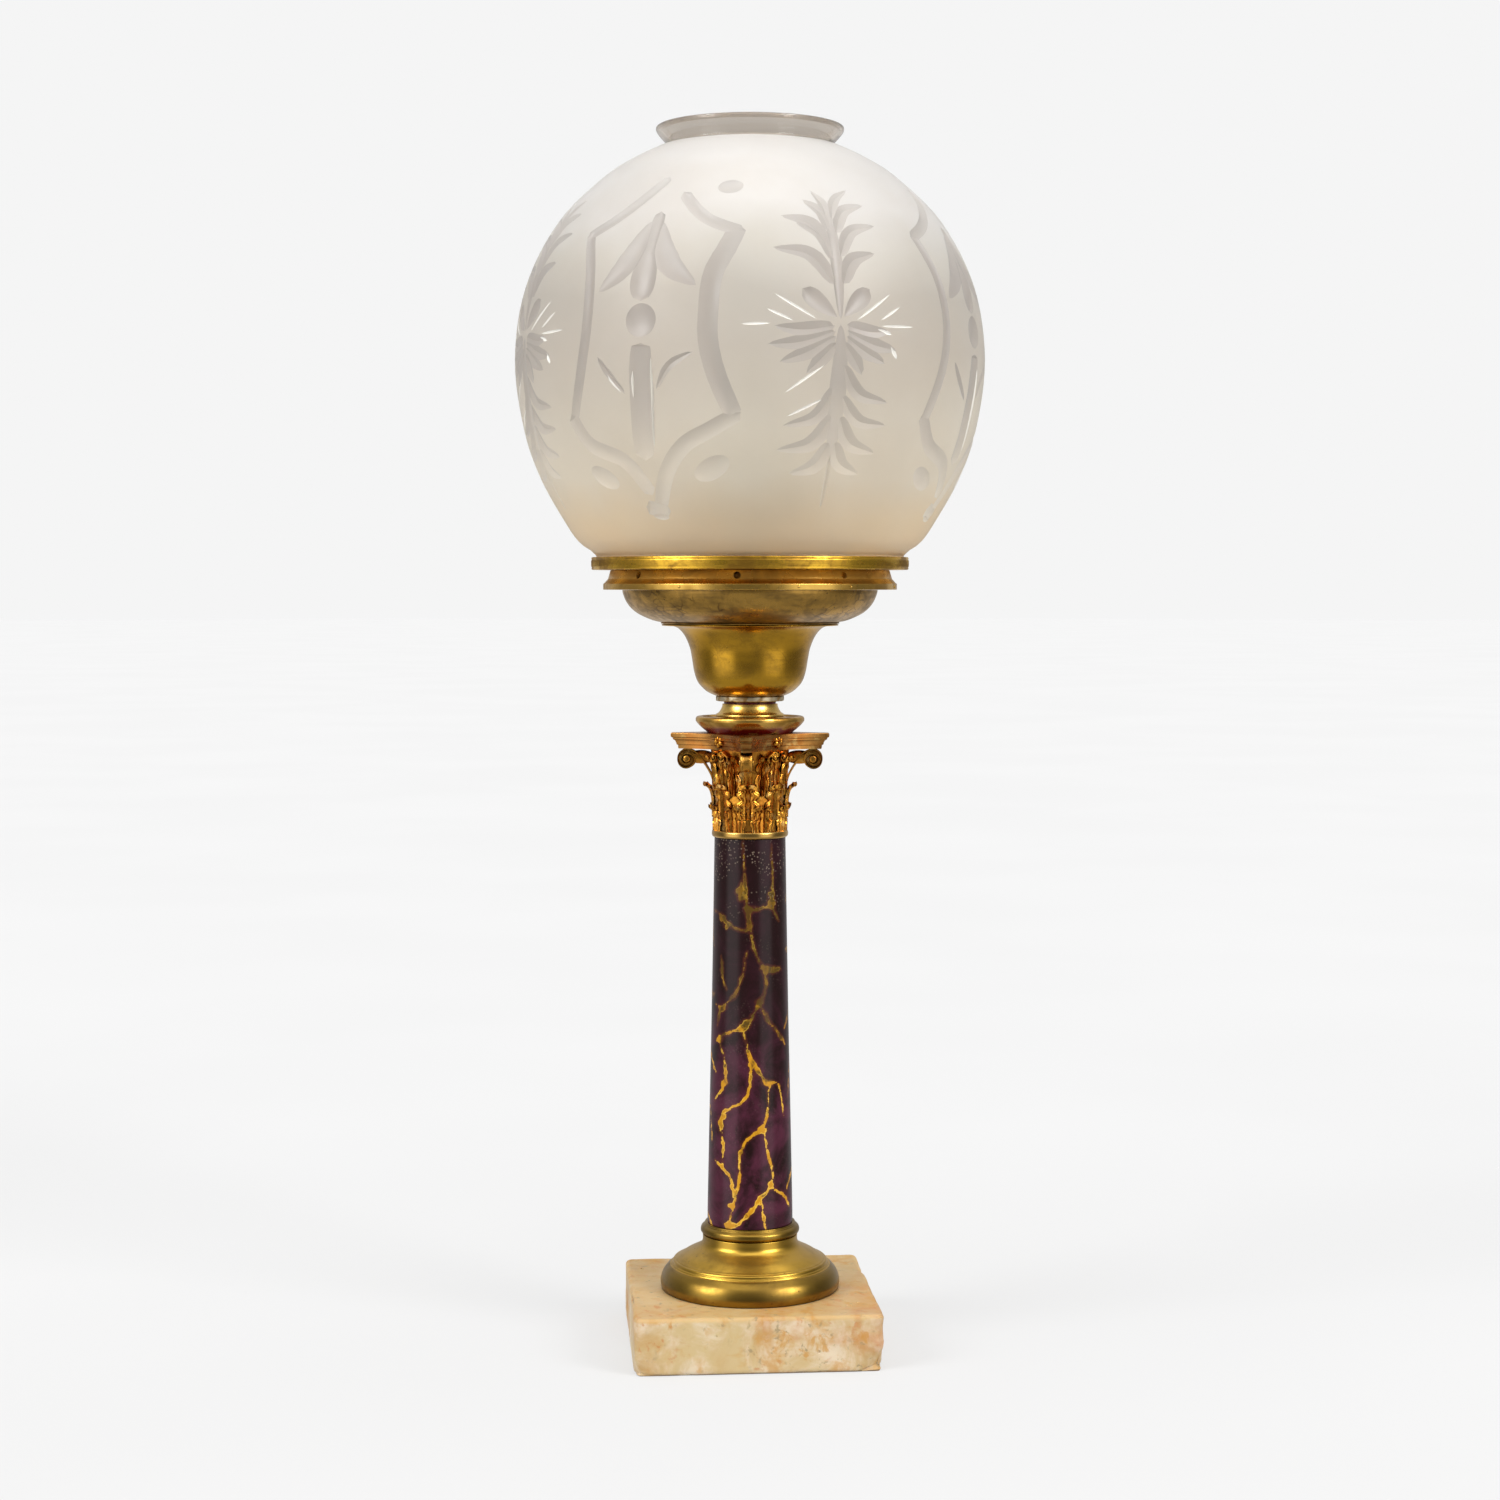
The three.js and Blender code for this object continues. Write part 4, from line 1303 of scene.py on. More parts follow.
@dataclass
class Column:
    """Painted taper with marbled veins, and the gilt astragal at its top."""

    finishes: Finishes
    foot_radius: float = 22.3 * MM
    top_radius: float = 18.5 * MM
    wall: float = 1.6 * MM
    bore: float = 4.4 * MM
    around: int = 176
    row: float = 0.95 * MM
    vein_half: float = 0.8 * MM
    vein_end: float = 0.2 * MM
    stray: float = 1.2 * MM
    knot_shape: tuple[float, float] = (0.7, 1.0)
    ragged: float = 0.7 * MM
    web: float = 2.2 * MM
    view_turn: float = math.radians(-94.6)
    seed: int = 11
    shares: Points = (
        (1, 0), (1, 0.03), (0.87, 0.15), (0.68, 0.32), (0.39, 0.57), (0, 1),
    )
    astragal: Points = (
        (0, 0), (0.5, 0.06), (0.88, 0.22), (1, 0.5), (0.88, 0.78), (0.5, 0.94), (0, 1),
    )
    veins: tuple[Points, ...] = (
        ((-12, 201.4), (-9, 187.3), (-7, 175.1), (-5, 167.1), (5, 148.1), (20, 136.5)),
        ((36, 199.8), (38, 178.1), (34, 168.7), (15, 166), (-2, 165.7)),
        ((34, 168.7), (49, 160.2)),
        ((-74, 164), (-54, 163.1), (-29, 157.3), (-6, 156), (-5, 166)),
        ((20, 136.1), (36, 134), (53, 134.9)),
        ((20, 135.8), (24, 126.3), (15, 119), (-8, 106.2), (-49, 99.6), (-59, 96.4)),
        ((-4, 144.1), (-13, 130.5), (-27, 120.8), (-49, 113.2), (-58, 105)),
        ((-44, 114), (-62, 116)),
        ((-50, 141.8), (-45, 131.1), (-38, 125.2)),
        ((15, 118.3), (34, 105.7), (63, 94.6)),
        ((-54, 98), (-40, 87.8), (-37, 78.4), (-42, 73.4), (-61, 65.5)),
        ((-12, 104.1), (4, 88.6), (22, 76.4), (43, 75.1), (56, 58.3)),
        ((-2, 92.7), (0, 77.8), (-3, 71), (-12, 65.5), (-40, 59.9), (-48, 50.6)),
        ((28, 75.3), (26, 63.8), (18, 53.1), (-4, 46.6), (-13, 38.3), (-16, 24.6), (-24, 13.5),
         (-30, 0.3)),
        ((-45, 54.8), (-41, 41.4), (-41, 31.8), (-29, 26.3), (-23, 17.6)),
        ((-56, 34.7), (-41, 31.6)),
        ((18, 51.8), (25, 40.7), (32, 29.5), (29, 22.2), (11, 15.2), (-14, 4.2), (-31, 0.2)),
        ((30, 21.7), (51, 16.9), (66, 9.5)),
        ((13, 17.2), (17, 8.3), (22, -0.8)),
        ((-47, 56.1), (-36, 58)),
        ((-13, 180.5), (-17, 175.7), (-12, 172.1)),
    )
    knots: Rows = (
        (36, 169, 1.9), (34, 174, 1.3), (-4, 166.5, 1.0), (-50, 161, 1.3), (28, 135.5, 1.7),
        (42, 134.6, 1.0), (-44, 114.5, 1.1), (-9, 105, 1.3), (-5, 108, 1.2), (-52, 98, 0.8),
        (-40, 76, 1.2), (25, 76, 1.0), (-46, 54, 1.3), (18, 52, 1.1), (30, 23, 1.1), (-27, 12, 1.2),
        (-30, 2, 1.6), (-16, 176, 1.5), (-16, 172, 1.0), (15, 119, 0.9), (-38, 157, 1.1),
    )
    copies: Rows = ((0, 1, 0), (125, -1, 9), (-122, 1, -14))

    def build(self) -> None:
        """Turns the column, stores its veins and turns the astragal."""
        height = height_of("column")
        line = flowing(outline_from(self.shares, self.top_radius, self.foot_radius, height), 12)
        rows = round(height / self.row)
        heights = [height * row / rows for row in range(rows + 1)]
        outer = [(radius_at(line, up), up) for up in heights]
        inner = [(outer[-1][0] - self.wall, height), (self.foot_radius - self.wall, 0.0)]
        shell = spun(lifted([*outer, *inner], base_of("column")), self.around)
        self._store_gaps(shell)
        publish(shell, "column_shaft", [self.finishes.paint], "column")
        high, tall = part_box("astragal")[1], height_of("astragal")
        swell = flowing(outline_from(self.astragal, self.top_radius, high.x, tall))
        ring = [*swell, (self.bore, tall), (self.bore, 0.0)]
        turned("astragal_ring", "astragal", ring, self.finishes.astragal)

    def _store_gaps(self, shell: Shell) -> None:
        """Stores each point's distance from the edge of the nearest vein.

        Args:
            shell: The column's shell.
        """
        noise.seed_set(self.seed)
        layer = shell.verts.layers.float.new("vein_gap")
        places = np.array([vert.co for vert in shell.verts])
        middle = (self.foot_radius + self.top_radius) / 2
        around = np.arctan2(places[:, 1], places[:, 0]) - self.view_turn
        up = places[:, 2] - base_of("column")
        least = np.full(len(places), 1.0)
        lap = FULL_TURN * middle
        for turn, hand, lift in self.copies:
            across = (around * middle - math.radians(turn) * middle + lap / 2) % lap - lap / 2
            spots = np.stack([across * hand, up - lift * MM], axis=1)
            pushes = [noise.noise_vector(Vector((*spot, turn)) * 320).xy for spot in spots]
            spots = spots + np.array(pushes) * self.ragged
            for vein in self.veins:
                points = [(math.radians(a) * middle, h * MM) for a, h in vein]
                least = self._webbed(least, self._gap_to(spots, points))
            for a, h, radius in self.knots:
                away = (spots - (math.radians(a) * middle, h * MM)) * self.knot_shape
                least = self._webbed(least, np.linalg.norm(away, axis=1) - radius * MM)
        for vert, gap in zip(shell.verts, least):
            vert[layer] = float(gap)

    def _webbed(self, first: np.ndarray, second: np.ndarray) -> np.ndarray:
        """The lesser of two gaps, with a web where both are small."""
        share = np.clip(0.5 + (second - first) / (2 * self.web), 0, 1)
        return second + (first - second) * share - self.web * share * (1 - share)

    def _gap_to(self, spots: np.ndarray, points: Outline) -> np.ndarray:
        """Distance of spots from the edge of one wandering vein.

        Args:
            spots: Places on the unrolled column.
            points: The vein's points there.

        Returns:
            A distance for each spot, below zero in the vein.
        """
        path = []
        for across, up in flowing(points, 7):
            push = noise.noise_vector(Vector((across, up, 0)) * 75)
            path.append((across + push.x * self.stray, up + push.y * self.stray))
        line = np.array(path)
        shares = np.linspace(0, 1, len(line))
        bulk = np.minimum(1, 5 * np.minimum(shares, 1 - shares))
        thick = np.array([0.72 + 1.6 * noise.noise(Vector((*spot, 0)) * 150) for spot in path])
        halves = self.vein_end + (self.vein_half - self.vein_end) * bulk * np.maximum(thick, 0.12)
        least = np.full(len(spots), 1.0)
        for start, end, half in zip(line[:-1], line[1:], halves):
            run = end - start
            share = np.clip((spots - start) @ run / (run @ run), 0, 1)
            away = np.linalg.norm(spots - start - share[:, None] * run, axis=1)
            least = np.minimum(least, away - half)
        return least


def along(line: Sequence[Point], share: float) -> Vector:
    """Place on a line at a share of its points.

    Args:
        line: The line's points.
        share: Share of the way, 0 to 1.

    Returns:
        The place.
    """
    place = min(max(share, 0.0), 1.0) * (len(line) - 1)
    index = min(int(place), len(line) - 2)
    return Vector(line[index]).lerp(Vector(line[index + 1]), place - index)


def outwards(line: Sequence[Point], share: float) -> Vector:
    """Direction square to a line at a share, outwards where the line runs up."""
    ahead = along(line, share + 0.02) - along(line, share - 0.02)
    return Vector((ahead.y, -ahead.x)).normalized()


@dataclass
class Capital:
    """Gilt Corinthian capital, cast with two rows of leaves, scrolls and a hollow abacus."""

    finishes: Finishes
    turn: float = math.radians(82.4)
    corners: int = 4
    leaves: int = 8
    bore: float = 4.4 * MM
    foot_radius: float = 18.5 * MM
    bell_top: float = 20.65 * MM
    leaf_half: float = 6.3 * MM
    leaf_wall: float = 1.1 * MM
    rib: float = 0.9 * MM
    rib_half: float = 0.11
    flute: float = 0.8 * MM
    cup: float = 0.7 * MM
    lobes: int = 5
    notch: float = 0.42
    abacus_reach: float = 41.2 * MM
    abacus_cut: float = 3 * MM
    abacus_waist: float = 22.8 * MM
    abacus_height: float = 6.3 * MM
    abacus_rise: float = 1.9 * MM
    abacus_points: int = 24
    seat: float = 22.4 * MM
    scroll_radius: float = 5.4 * MM
    scroll_core: float = 1.5 * MM
    scroll_width: float = 6.2 * MM
    scroll_turns: float = 1.85
    scroll_steps: int = 34
    scroll_lip: float = 0.75 * MM
    helix_radius: float = 2.75 * MM
    helix_up: float = 38.5 * MM
    helix_width: float = 3.0 * MM
    helix_apart: float = 3.2 * MM
    flower: float = 3.7 * MM
    petals: int = 6
    bell: Points = ((0, 0), (0.02, 0.3), (0.08, 0.6), (0.35, 0.85), (1, 1))
    leaf_rows: Rows = (
        (0.1, 0, 0.8), (0.12, 0.34, 1), (0.2, 0.66, 0.98), (0.44, 0.88, 0.88), (0.8, 0.97, 0.7),
        (1.02, 0.985, 0.46), (1.12, 0.96, 0.18),
    )
    # steps turned, foot and tip in shares of the height, reach in mm, share of width, every
    tiers: Rows = (
        (0.5, 0, 0.27, 3.4, 1, 1), (0, 0.15, 0.505, 5.1, 1, 1), (0.5, 0.4, 0.8, 4.4, 0.62, 1),
        (0, 0.48, 0.84, 2.6, 0.6, 2),
    )
    stem: Points = ((18.2, 21), (20, 28.5), (24.2, 35.6), (28.5, 40.2))
    helix_stem: Points = ((-9.4, 22), (-9.2, 30), (-7.4, 37.2))
    abacus_steps: Points = (
        (0.9, 0), (0.905, 0.1), (0.905, 0.22), (0.925, 0.27), (0.93, 0.4), (0.945, 0.52),
        (0.972, 0.6), (0.972, 0.68), (0.995, 0.74), (1.0, 0.86), (0.996, 0.96), (0.985, 1),
    )

    def build(self) -> None:
        """Joins the bell, leaves, scrolls, flowers and abacus."""
        height = height_of("capital")
        self.crown = height - self.abacus_height
        self.core = flowing(outline_from(self.bell, self.foot_radius, self.bell_top, self.crown))
        leaves = bmesh.new()
        step = FULL_TURN / self.leaves
        for index in range(self.leaves):
            for shift, foot, tip, reach, share, every in self.tiers:
                if index % every == every - 1:
                    span = (foot * height, tip * height)
                    self._leaf(leaves, (index + shift) * step, span, reach * MM, share)
        scrolls = bmesh.new()
        extras = []
        bead = (self.helix_width / 2, 1.25 * MM, 1.25 * MM)
        for index in range(self.corners):
            turn = index * FULL_TURN / self.corners
            self._corner_scroll(scrolls, turn)
            extras.extend(self._scroll_middle(turn))
            side = turn + FULL_TURN / self.corners / 2
            for hand in (-1, 1):
                self._helix(scrolls, side, hand)
                middle = (self.abacus_waist - 0.6 * MM, hand * self.helix_apart, self.helix_up)
                extras.append(ball(bead, middle, side))
            extras.extend(self._flower(side, height))
        bell = spun([*self.core, (self.bore, self.crown), (self.bore, 0.0)], 96)
        seat = rod(self.seat, height, 2 * height, 96)
        abacus = carved(self._abacus(), [rod(self.bore, 0.0, 2 * height), seat])
        for face in abacus.faces:
            face.material_index = 1
        whole = tidied(joined([bell, leaves, scrolls, abacus, *extras]))
        place = Matrix.Translation((0, 0, base_of("capital"))) @ about(self.turn)
        publish(
            moved(whole, place), "capital_casting", [self.finishes.gilt, self.finishes.moulding],
            "capital", crease=math.radians(48), fine_crease=math.radians(12),
        )

    def _leaf(self, shell: Shell, turn: float, span: Point, reach: float, share: float) -> None:
        """Adds one lobed and fluted leaf that curls outwards.

        Args:
            shell: Mesh that takes the leaf.
            turn: Angle of its middle.
            span: Heights of its foot and its highest point.
            reach: Distance of its tip from the bell.
            share: Share of the full width.
        """
        spine, widths = [], []
        base, top = span
        for index, (out, up, width) in enumerate(self.leaf_rows):
            height = base + up * (top - base)
            spine.append((radius_at(self.core, height) + out * reach, height))
            widths.append((width * share * self.leaf_half, index * MM))
        spine, widths = flowing(spine), flowing(widths)

        def place(across: float, up: float) -> Vector:
            """Place on the leaf, between lobes, with its rib, flutes and cup.

            Args:
                across: Place across the sheet, -1 to 1.
                up: Share of the way along it.

            Returns:
                The place in the capital.
            """
            side = abs(across)
            gap = (0.5 - 0.5 * math.cos(FULL_TURN * (up * self.lobes - 0.85))) ** 1.5
            half = along(widths, up).x * (1 - self.notch * gap * smoothstep(0.04, 0.2, up))
            lift = self.rib * math.exp(-((across / self.rib_half) ** 2))
            fluting = 0.5 + 0.5 * math.cos(FULL_TURN * (2.4 * side + 0.1 * up))
            lift += self.flute * (fluting - 0.6) * smoothstep(0.08, 0.2, side)
            lift -= 1.1 * self.flute * gap * smoothstep(0.45, 0.95, side) * smoothstep(0.1, 0.3, up)
            lift += self.cup * side * side
            spot = along(spine, up) + outwards(spine, up) * lift
            return polar(spot.x, turn + across * half / spot.x, spot.y)

        bent_sheet(shell, 18, 40, place, self.leaf_wall)

    def _spiral(
        self, stem: Points, centre: Point, radius: float, core: float, turns: float
    ) -> Outline:
        """A stem that runs into the top of a scroll.

        Args:
            stem: Points of the stem in millimetres.
            centre: Middle of the scroll.
            radius: Its outer radius.
            core: Radius at its inner end.
            turns: Turns of the scroll.

        Returns:
            Points of the whole line.
        """
        out, up = centre
        rolled = []
        steps = round(self.scroll_steps * turns)
        for step in range(1, steps + 1):
            share = step / steps
            angle = QUARTER_TURN - share * turns * FULL_TURN
            reach = radius + (core - radius) * share**0.85
            rolled.append((out + reach * math.cos(angle), up + reach * math.sin(angle)))
        return [*flowing([*metres(stem), (out, up + radius)], 8), *rolled]

    def _scroll_centre(self) -> Point:
        """Middle of the corner scrolls, out from the axis and up."""
        radius = self.scroll_radius
        return self.abacus_reach - self.abacus_cut - radius, self.crown - radius

    def _corner_scroll(self, shell: Shell, turn: float) -> None:
        """Adds the channelled band that rolls up under a corner.

        Args:
            shell: The shell that it is added to.
            turn: Turn of the corner.
        """
        sizes = (self.scroll_radius, self.scroll_core, self.scroll_turns)
        line = self._spiral(self.stem, self._scroll_centre(), *sizes)

        def place(across: float, up: float) -> Vector:
            """Place on the band, whose edges stand up as lips.

            Args:
                across: Place across the sheet, -1 to 1.
                up: Share of the way along it.

            Returns:
                The place in the capital.
            """
            lip = self.scroll_lip * (smoothstep(0.5, 0.85, abs(across)) - 0.7)
            spot = along(line, up) - outwards(line, up) * lip
            half = self.scroll_width / 2 * (0.62 + 0.38 * smoothstep(0.0, 0.4, up))
            return about(turn).to_3x3() @ Vector((spot.x, across * half, spot.y))

        bent_sheet(shell, 12, 150, place, 0.75 * MM)

    def _scroll_middle(self, turn: float) -> list[Shell]:
        """Core and eyes of a corner scroll, and the filling behind its stem.

        Args:
            turn: Turn of the corner.

        Returns:
            The shells.
        """
        out, up = self._scroll_centre()
        lie = about(turn) @ Matrix.Translation((out, 0, up)) @ Matrix.Rotation(QUARTER_TURN, 4, "X")
        half = self.scroll_width / 2
        parts = []
        for radius, reach, soft in (
            (self.scroll_radius - 0.5 * MM, half - 1.1 * MM, 0.2), (1.9 * MM, half + 0.7 * MM, 0.6),
        ):
            disc = rod(radius, -reach, reach, 28)
            bmesh.ops.bevel(
                disc, geom=[edge for edge in disc.edges if climb(edge) < WELD_REACH],
                offset=soft * MM, segments=2, profile=0.5, affect="EDGES", material=-1,
            )
            parts.append(moved(disc, lie))
        return [*parts, ball((7.5 * MM, 2.0 * MM, 3.6 * MM), (25.5 * MM, 0, 37.4 * MM), turn)]

    def _helix(self, shell: Shell, side: float, hand: int) -> None:
        """Adds one of the two small scrolls that meet under the flower.

        Args:
            shell: Mesh that takes it.
            side: Angle of the middle of its side.
            hand: Minus one or one for the left or the right.
        """
        centre = (-self.helix_apart, self.helix_up)
        line = self._spiral(self.helix_stem, centre, self.helix_radius, 0.9 * MM, 1.5)

        def place(across: float, up: float) -> Vector:
            """Place on the scroll, which leaves the bell for the abacus.

            Args:
                across: Place across the sheet, -1 to 1.
                up: Share of the way along it.

            Returns:
                The place in the capital.
            """
            spot = along(line, up)
            wall = radius_at(self.core, min(spot.y, self.crown)) + 0.6 * MM
            out = wall + (self.abacus_waist - wall - 1.2 * MM) * smoothstep(0.05, 0.5, up)
            out += across * self.helix_width / 2
            return polar(out, side - hand * spot.x / self.abacus_waist, spot.y)

        bent_sheet(shell, 4, 80, place, 0.7 * MM)

    def _flower(self, side: float, height: float) -> list[Shell]:
        """Petals and button of the flower in the middle of an abacus side.

        Args:
            side: Turn of the side.
            height: Height that the abacus is counted from.

        Returns:
            The shells.
        """
        out = self.abacus_waist - 0.2 * MM
        up = height + self.abacus_rise - self.flower
        parts = [ball((1.5 * MM, 1.2 * MM, 1.2 * MM), (out + 0.5 * MM, 0, up), side)]
        for index in range(self.petals):
            petal = ball((1.0 * MM, 1.15 * MM, 1.75 * MM), (0, 0, 0.56 * self.flower))
            angle = index * FULL_TURN / self.petals
            place = about(side) @ Matrix.Translation((out, 0, up))
            place = place @ Matrix.Rotation(angle, 4, "X") @ Matrix.Rotation(-0.35, 4, "Y")
            parts.append(moved(petal, place))
        return [*parts, ball((2.6 * MM, 2.2 * MM, 2.2 * MM), (out - 2.4 * MM, 0, up), side)]

    def _plan(self) -> Outline:
        """Outline of the abacus from above: four hollow sides between cut corners.

        Returns:
            The outline, in the order of its turn.
        """
        turn = FULL_TURN / self.corners
        half_cut = math.atan2(self.abacus_cut, self.abacus_reach)
        tip = self.abacus_reach * (1 + half_cut * 0.05)
        plan: Outline = []
        for index in range(self.corners):
            here, there = index * turn, (index + 1) * turn
            start = Vector((self.abacus_reach, self.abacus_cut))
            start.rotate(Matrix.Rotation(here, 2))
            end = Vector((self.abacus_reach, -self.abacus_cut))
            end.rotate(Matrix.Rotation(there, 2))
            middle = (start + end) / 2
            pull = middle.normalized() * (2 * self.abacus_waist - middle.length)
            for step in range(self.abacus_points + 1):
                t = step / self.abacus_points
                plan.append(tuple(start * (1 - t) ** 2 + pull * 2 * t * (1 - t) + end * t * t))
            plan.append((tip * math.cos(there), tip * math.sin(there)))
        return sorted(plan, key=lambda spot: math.atan2(spot[1], spot[0]) % FULL_TURN)

    def _abacus(self) -> Shell:
        """The abacus, drawn up step by step from its plan.

        Returns:
            The abacus.
        """
        plan = self._plan()
        slab = bmesh.new()
        made = bmesh.ops.create_circle(slab, cap_ends=True, segments=len(plan), radius=1.0)
        first = self.abacus_steps[0][0]
        ring = sorted(made["verts"], key=lambda v: math.atan2(v.co.y, v.co.x) % FULL_TURN)
        for vert, spot in zip(ring, plan):
            vert.co = (spot[0] * first, spot[1] * first, self.crown)
        tall = self.abacus_height + self.abacus_rise
        lid = slab.faces[:]
        for (share, up), (more, higher) in zip(self.abacus_steps, self.abacus_steps[1:]):
            drawn = bmesh.ops.extrude_face_region(slab, geom=lid)["geom"]
            bmesh.ops.delete(slab, geom=lid, context="FACES_ONLY")
            verts = [part for part in drawn if isinstance(part, bmesh.types.BMVert)]
            lid = [part for part in drawn if isinstance(part, bmesh.types.BMFace)]
            grow = Matrix.Diagonal((more / share, more / share, 1, 1))
            rise = Matrix.Translation((0, 0, (higher - up) * tall))
            bmesh.ops.transform(slab, matrix=rise @ grow, verts=verts)
        bmesh.ops.holes_fill(slab, edges=slab.edges[:], sides=0)
        return tidied(slab)


@dataclass
class DishAndSpool:
    """Lacquered dish, bright spool and the tinned collar that carries the font."""

    finishes: Finishes
    bore: float = 4.4 * MM
    soft: float = 0.35 * MM
    dish: Points = (
        (22, 0), (22, 1.7), (22.5, 2.4), (24.3, 3.8), (26.6, 5.9), (27.5, 7.0), (28.2, 7.9),
        (28.3, 9.0), (27.9, 10.0), (27.2, 10.3),
    )
    dish_top: Points = ((25, 10.3), (24, 9.4), (18.8, 9.4), (17.8, 10.3))
    spool: Points = (
        (17.8, 0), (17.65, 0.9), (16.2, 1.9), (15.25, 3.3), (14.6, 4.7), (14.4, 5.4), (14.4, 6.2),
    )
    lip_set: float = 0.9 * MM
    lip_wall: float = 0.8 * MM
    lip_clear: float = 0.35 * MM
    slot: float = 0.8 * MM
    slots: int = 14
    collar_radius: float = 17.7 * MM
    collar_wall: float = 1.3 * MM
    collar_floor: float = 1.1 * MM
    hole: float = 1.7 * MM
    holes: int = 6
    dent: float = 0.35 * MM

    def build(self) -> None:
        """Turns the dish and the spool, and forms the collar."""
        dish = metres((*self.dish, *self.dish_top))
        ring = [*dish, (self.bore, dish[-1][1]), (self.bore, 0.0)]
        turned("socle_dish", "socle", ring, self.finishes.dish, soft=self.soft)
        self._spool()
        self._collar()

    def _spool(self) -> None:
        """Turns the spool with the slotted lip that lets the air in."""
        base, height = base_of("spool"), self.spool[-1][1] * MM
        lip = self.spool[-1][0] * MM - self.lip_set
        edge = base_of("font_collar") - base - self.lip_clear
        outline = [
            *flowing(metres(self.spool)), (lip, height), (lip, edge), (lip - self.lip_wall, edge),
            (lip - self.lip_wall, height), (self.bore, height), (self.bore, 0.0),
        ]
        shell = spun(lifted(eased(outline, self.soft / 2), base), 144)
        tools = ring_of_bars(self.slot, lip, self.slots, base + height + self.soft, base + 2 * edge)
        shell = carved(shell, tools)
        for face in shell.faces:
            face.material_index = int(face.calc_center_median().z > base + height + self.soft / 2)
        finishes = [self.finishes.spool, self.finishes.lip]
        publish(shell, "spool_ring", finishes, "spool")

    def _collar(self) -> None:
        """Forms the collar with its air holes and ragged soldered edge."""
        base, height = base_of("font_collar"), height_of("font_collar")
        outer, floor = self.collar_radius, self.collar_floor
        inner = outer - self.collar_wall
        outline = [
            (self.bore, 0.0), (outer - self.soft, 0.0), (outer, self.soft), (outer, height / 2),
            (outer, height), (inner, height), (inner, floor), (self.bore, floor),
        ]
        shell = spun(lifted(eased(outline, self.soft / 2), base), 144)
        for vert in shell.verts:
            if vert.co.xy.length > inner + self.dent:
                ragged = self.dent * min(noise.noise(vert.co * 420), 0.0)
                vert.co.xy *= 1 + ragged / outer
        reach = (inner + 7 * MM) / 2
        tools = ring_of_bars(self.hole, reach, self.holes, base - height, base + 2 * height)
        publish(carved(shell, tools), "collar_ring", [self.finishes.tin], "font_collar")


@dataclass
class Font:
    """Oil font: bell, bowl with its seam, and top plate."""

    finishes: Finishes
    wall: float = 0.9 * MM
    soft: float = 0.3 * MM
    plate_hole: float = 14.1 * MM
    bell: Points = (
        (0, 0), (0.14, 0.05), (0.235, 0.107), (0.335, 0.2), (0.4, 0.34), (0.445, 0.54),
        (0.485, 0.69), (0.58, 0.86), (0.7, 0.965), (0.82, 1),
    )
    neck_radius: float = 17.7 * MM
    rim_radius: float = 46 * MM
    bowl_radius: float = 66.2 * MM
    bowl_foot: float = 42 * MM
    bowl: Points = (
        (0, 0.04), (0.2, 0.09), (0.44, 0.2), (0.63, 0.32), (0.79, 0.48), (0.91, 0.68), (0.985, 0.9),
        (1, 1),
    )
    dent: float = 0.25 * MM
    dent_scale: float = 34.0

    def build(self) -> None:
        """Spins the three pieces, with the slow dents of thin old metal."""
        line = flowing(outline_from(self.bell, self.neck_radius, self.rim_radius, 36.4 * MM))
        lip = [(45.6 * MM, 36.4 * MM), (46 * MM, 36.75 * MM), (45.9 * MM, 37.1 * MM)]
        outer = [*line, *lip]
        wall = inset(line, self.wall)
        inner = [(45.2 * MM, 37.3 * MM), *reversed(wall)]
        bell = self._dented(spun(lifted([*outer, *inner], base_of("font_bell")), 176))
        publish(bell, "font_bell_spinning", [self.finishes.bell], "font_bell")
        height = height_of("font_bowl")
        side = flowing(outline_from(self.bowl, self.rim_radius, self.bowl_radius, height))
        wall = [(r, min(h, height)) for r, h in inset(side, self.wall)]
        foot = [(self.bowl_foot, 0.0), (46.2 * MM, 0.0), (46.45 * MM, 0.35 * MM)]
        outline = [*foot, *side, *reversed(wall), (self.bowl_foot, self.wall)]
        bowl = self._dented(spun(lifted(outline, base_of("font_bowl")), 176))
        publish(bowl, "font_bowl_spinning", [self.finishes.bowl], "font_bowl")
        reach, tall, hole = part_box("font_top")[1].x, height_of("font_top"), self.plate_hole
        plate = [(hole, 0.0), (reach, 0.0), (reach, tall), (hole, tall)]
        turned(
            "font_top_plate", "font_top", plate, self.finishes.bowl, 128, self.soft,
        )

    def _dented(self, shell: Shell) -> Shell:
        """Moves points towards the axis in slow waves, both walls together.

        Args:
            shell: The shell.

        Returns:
            The same shell.
        """
        for vert in shell.verts:
            out = vert.co.xy.normalized()
            sway = noise.noise(Vector((*out * 0.05, vert.co.z)) * self.dent_scale)
            vert.co.xy -= out * self.dent * (0.5 + 0.5 * sway)
        return shell


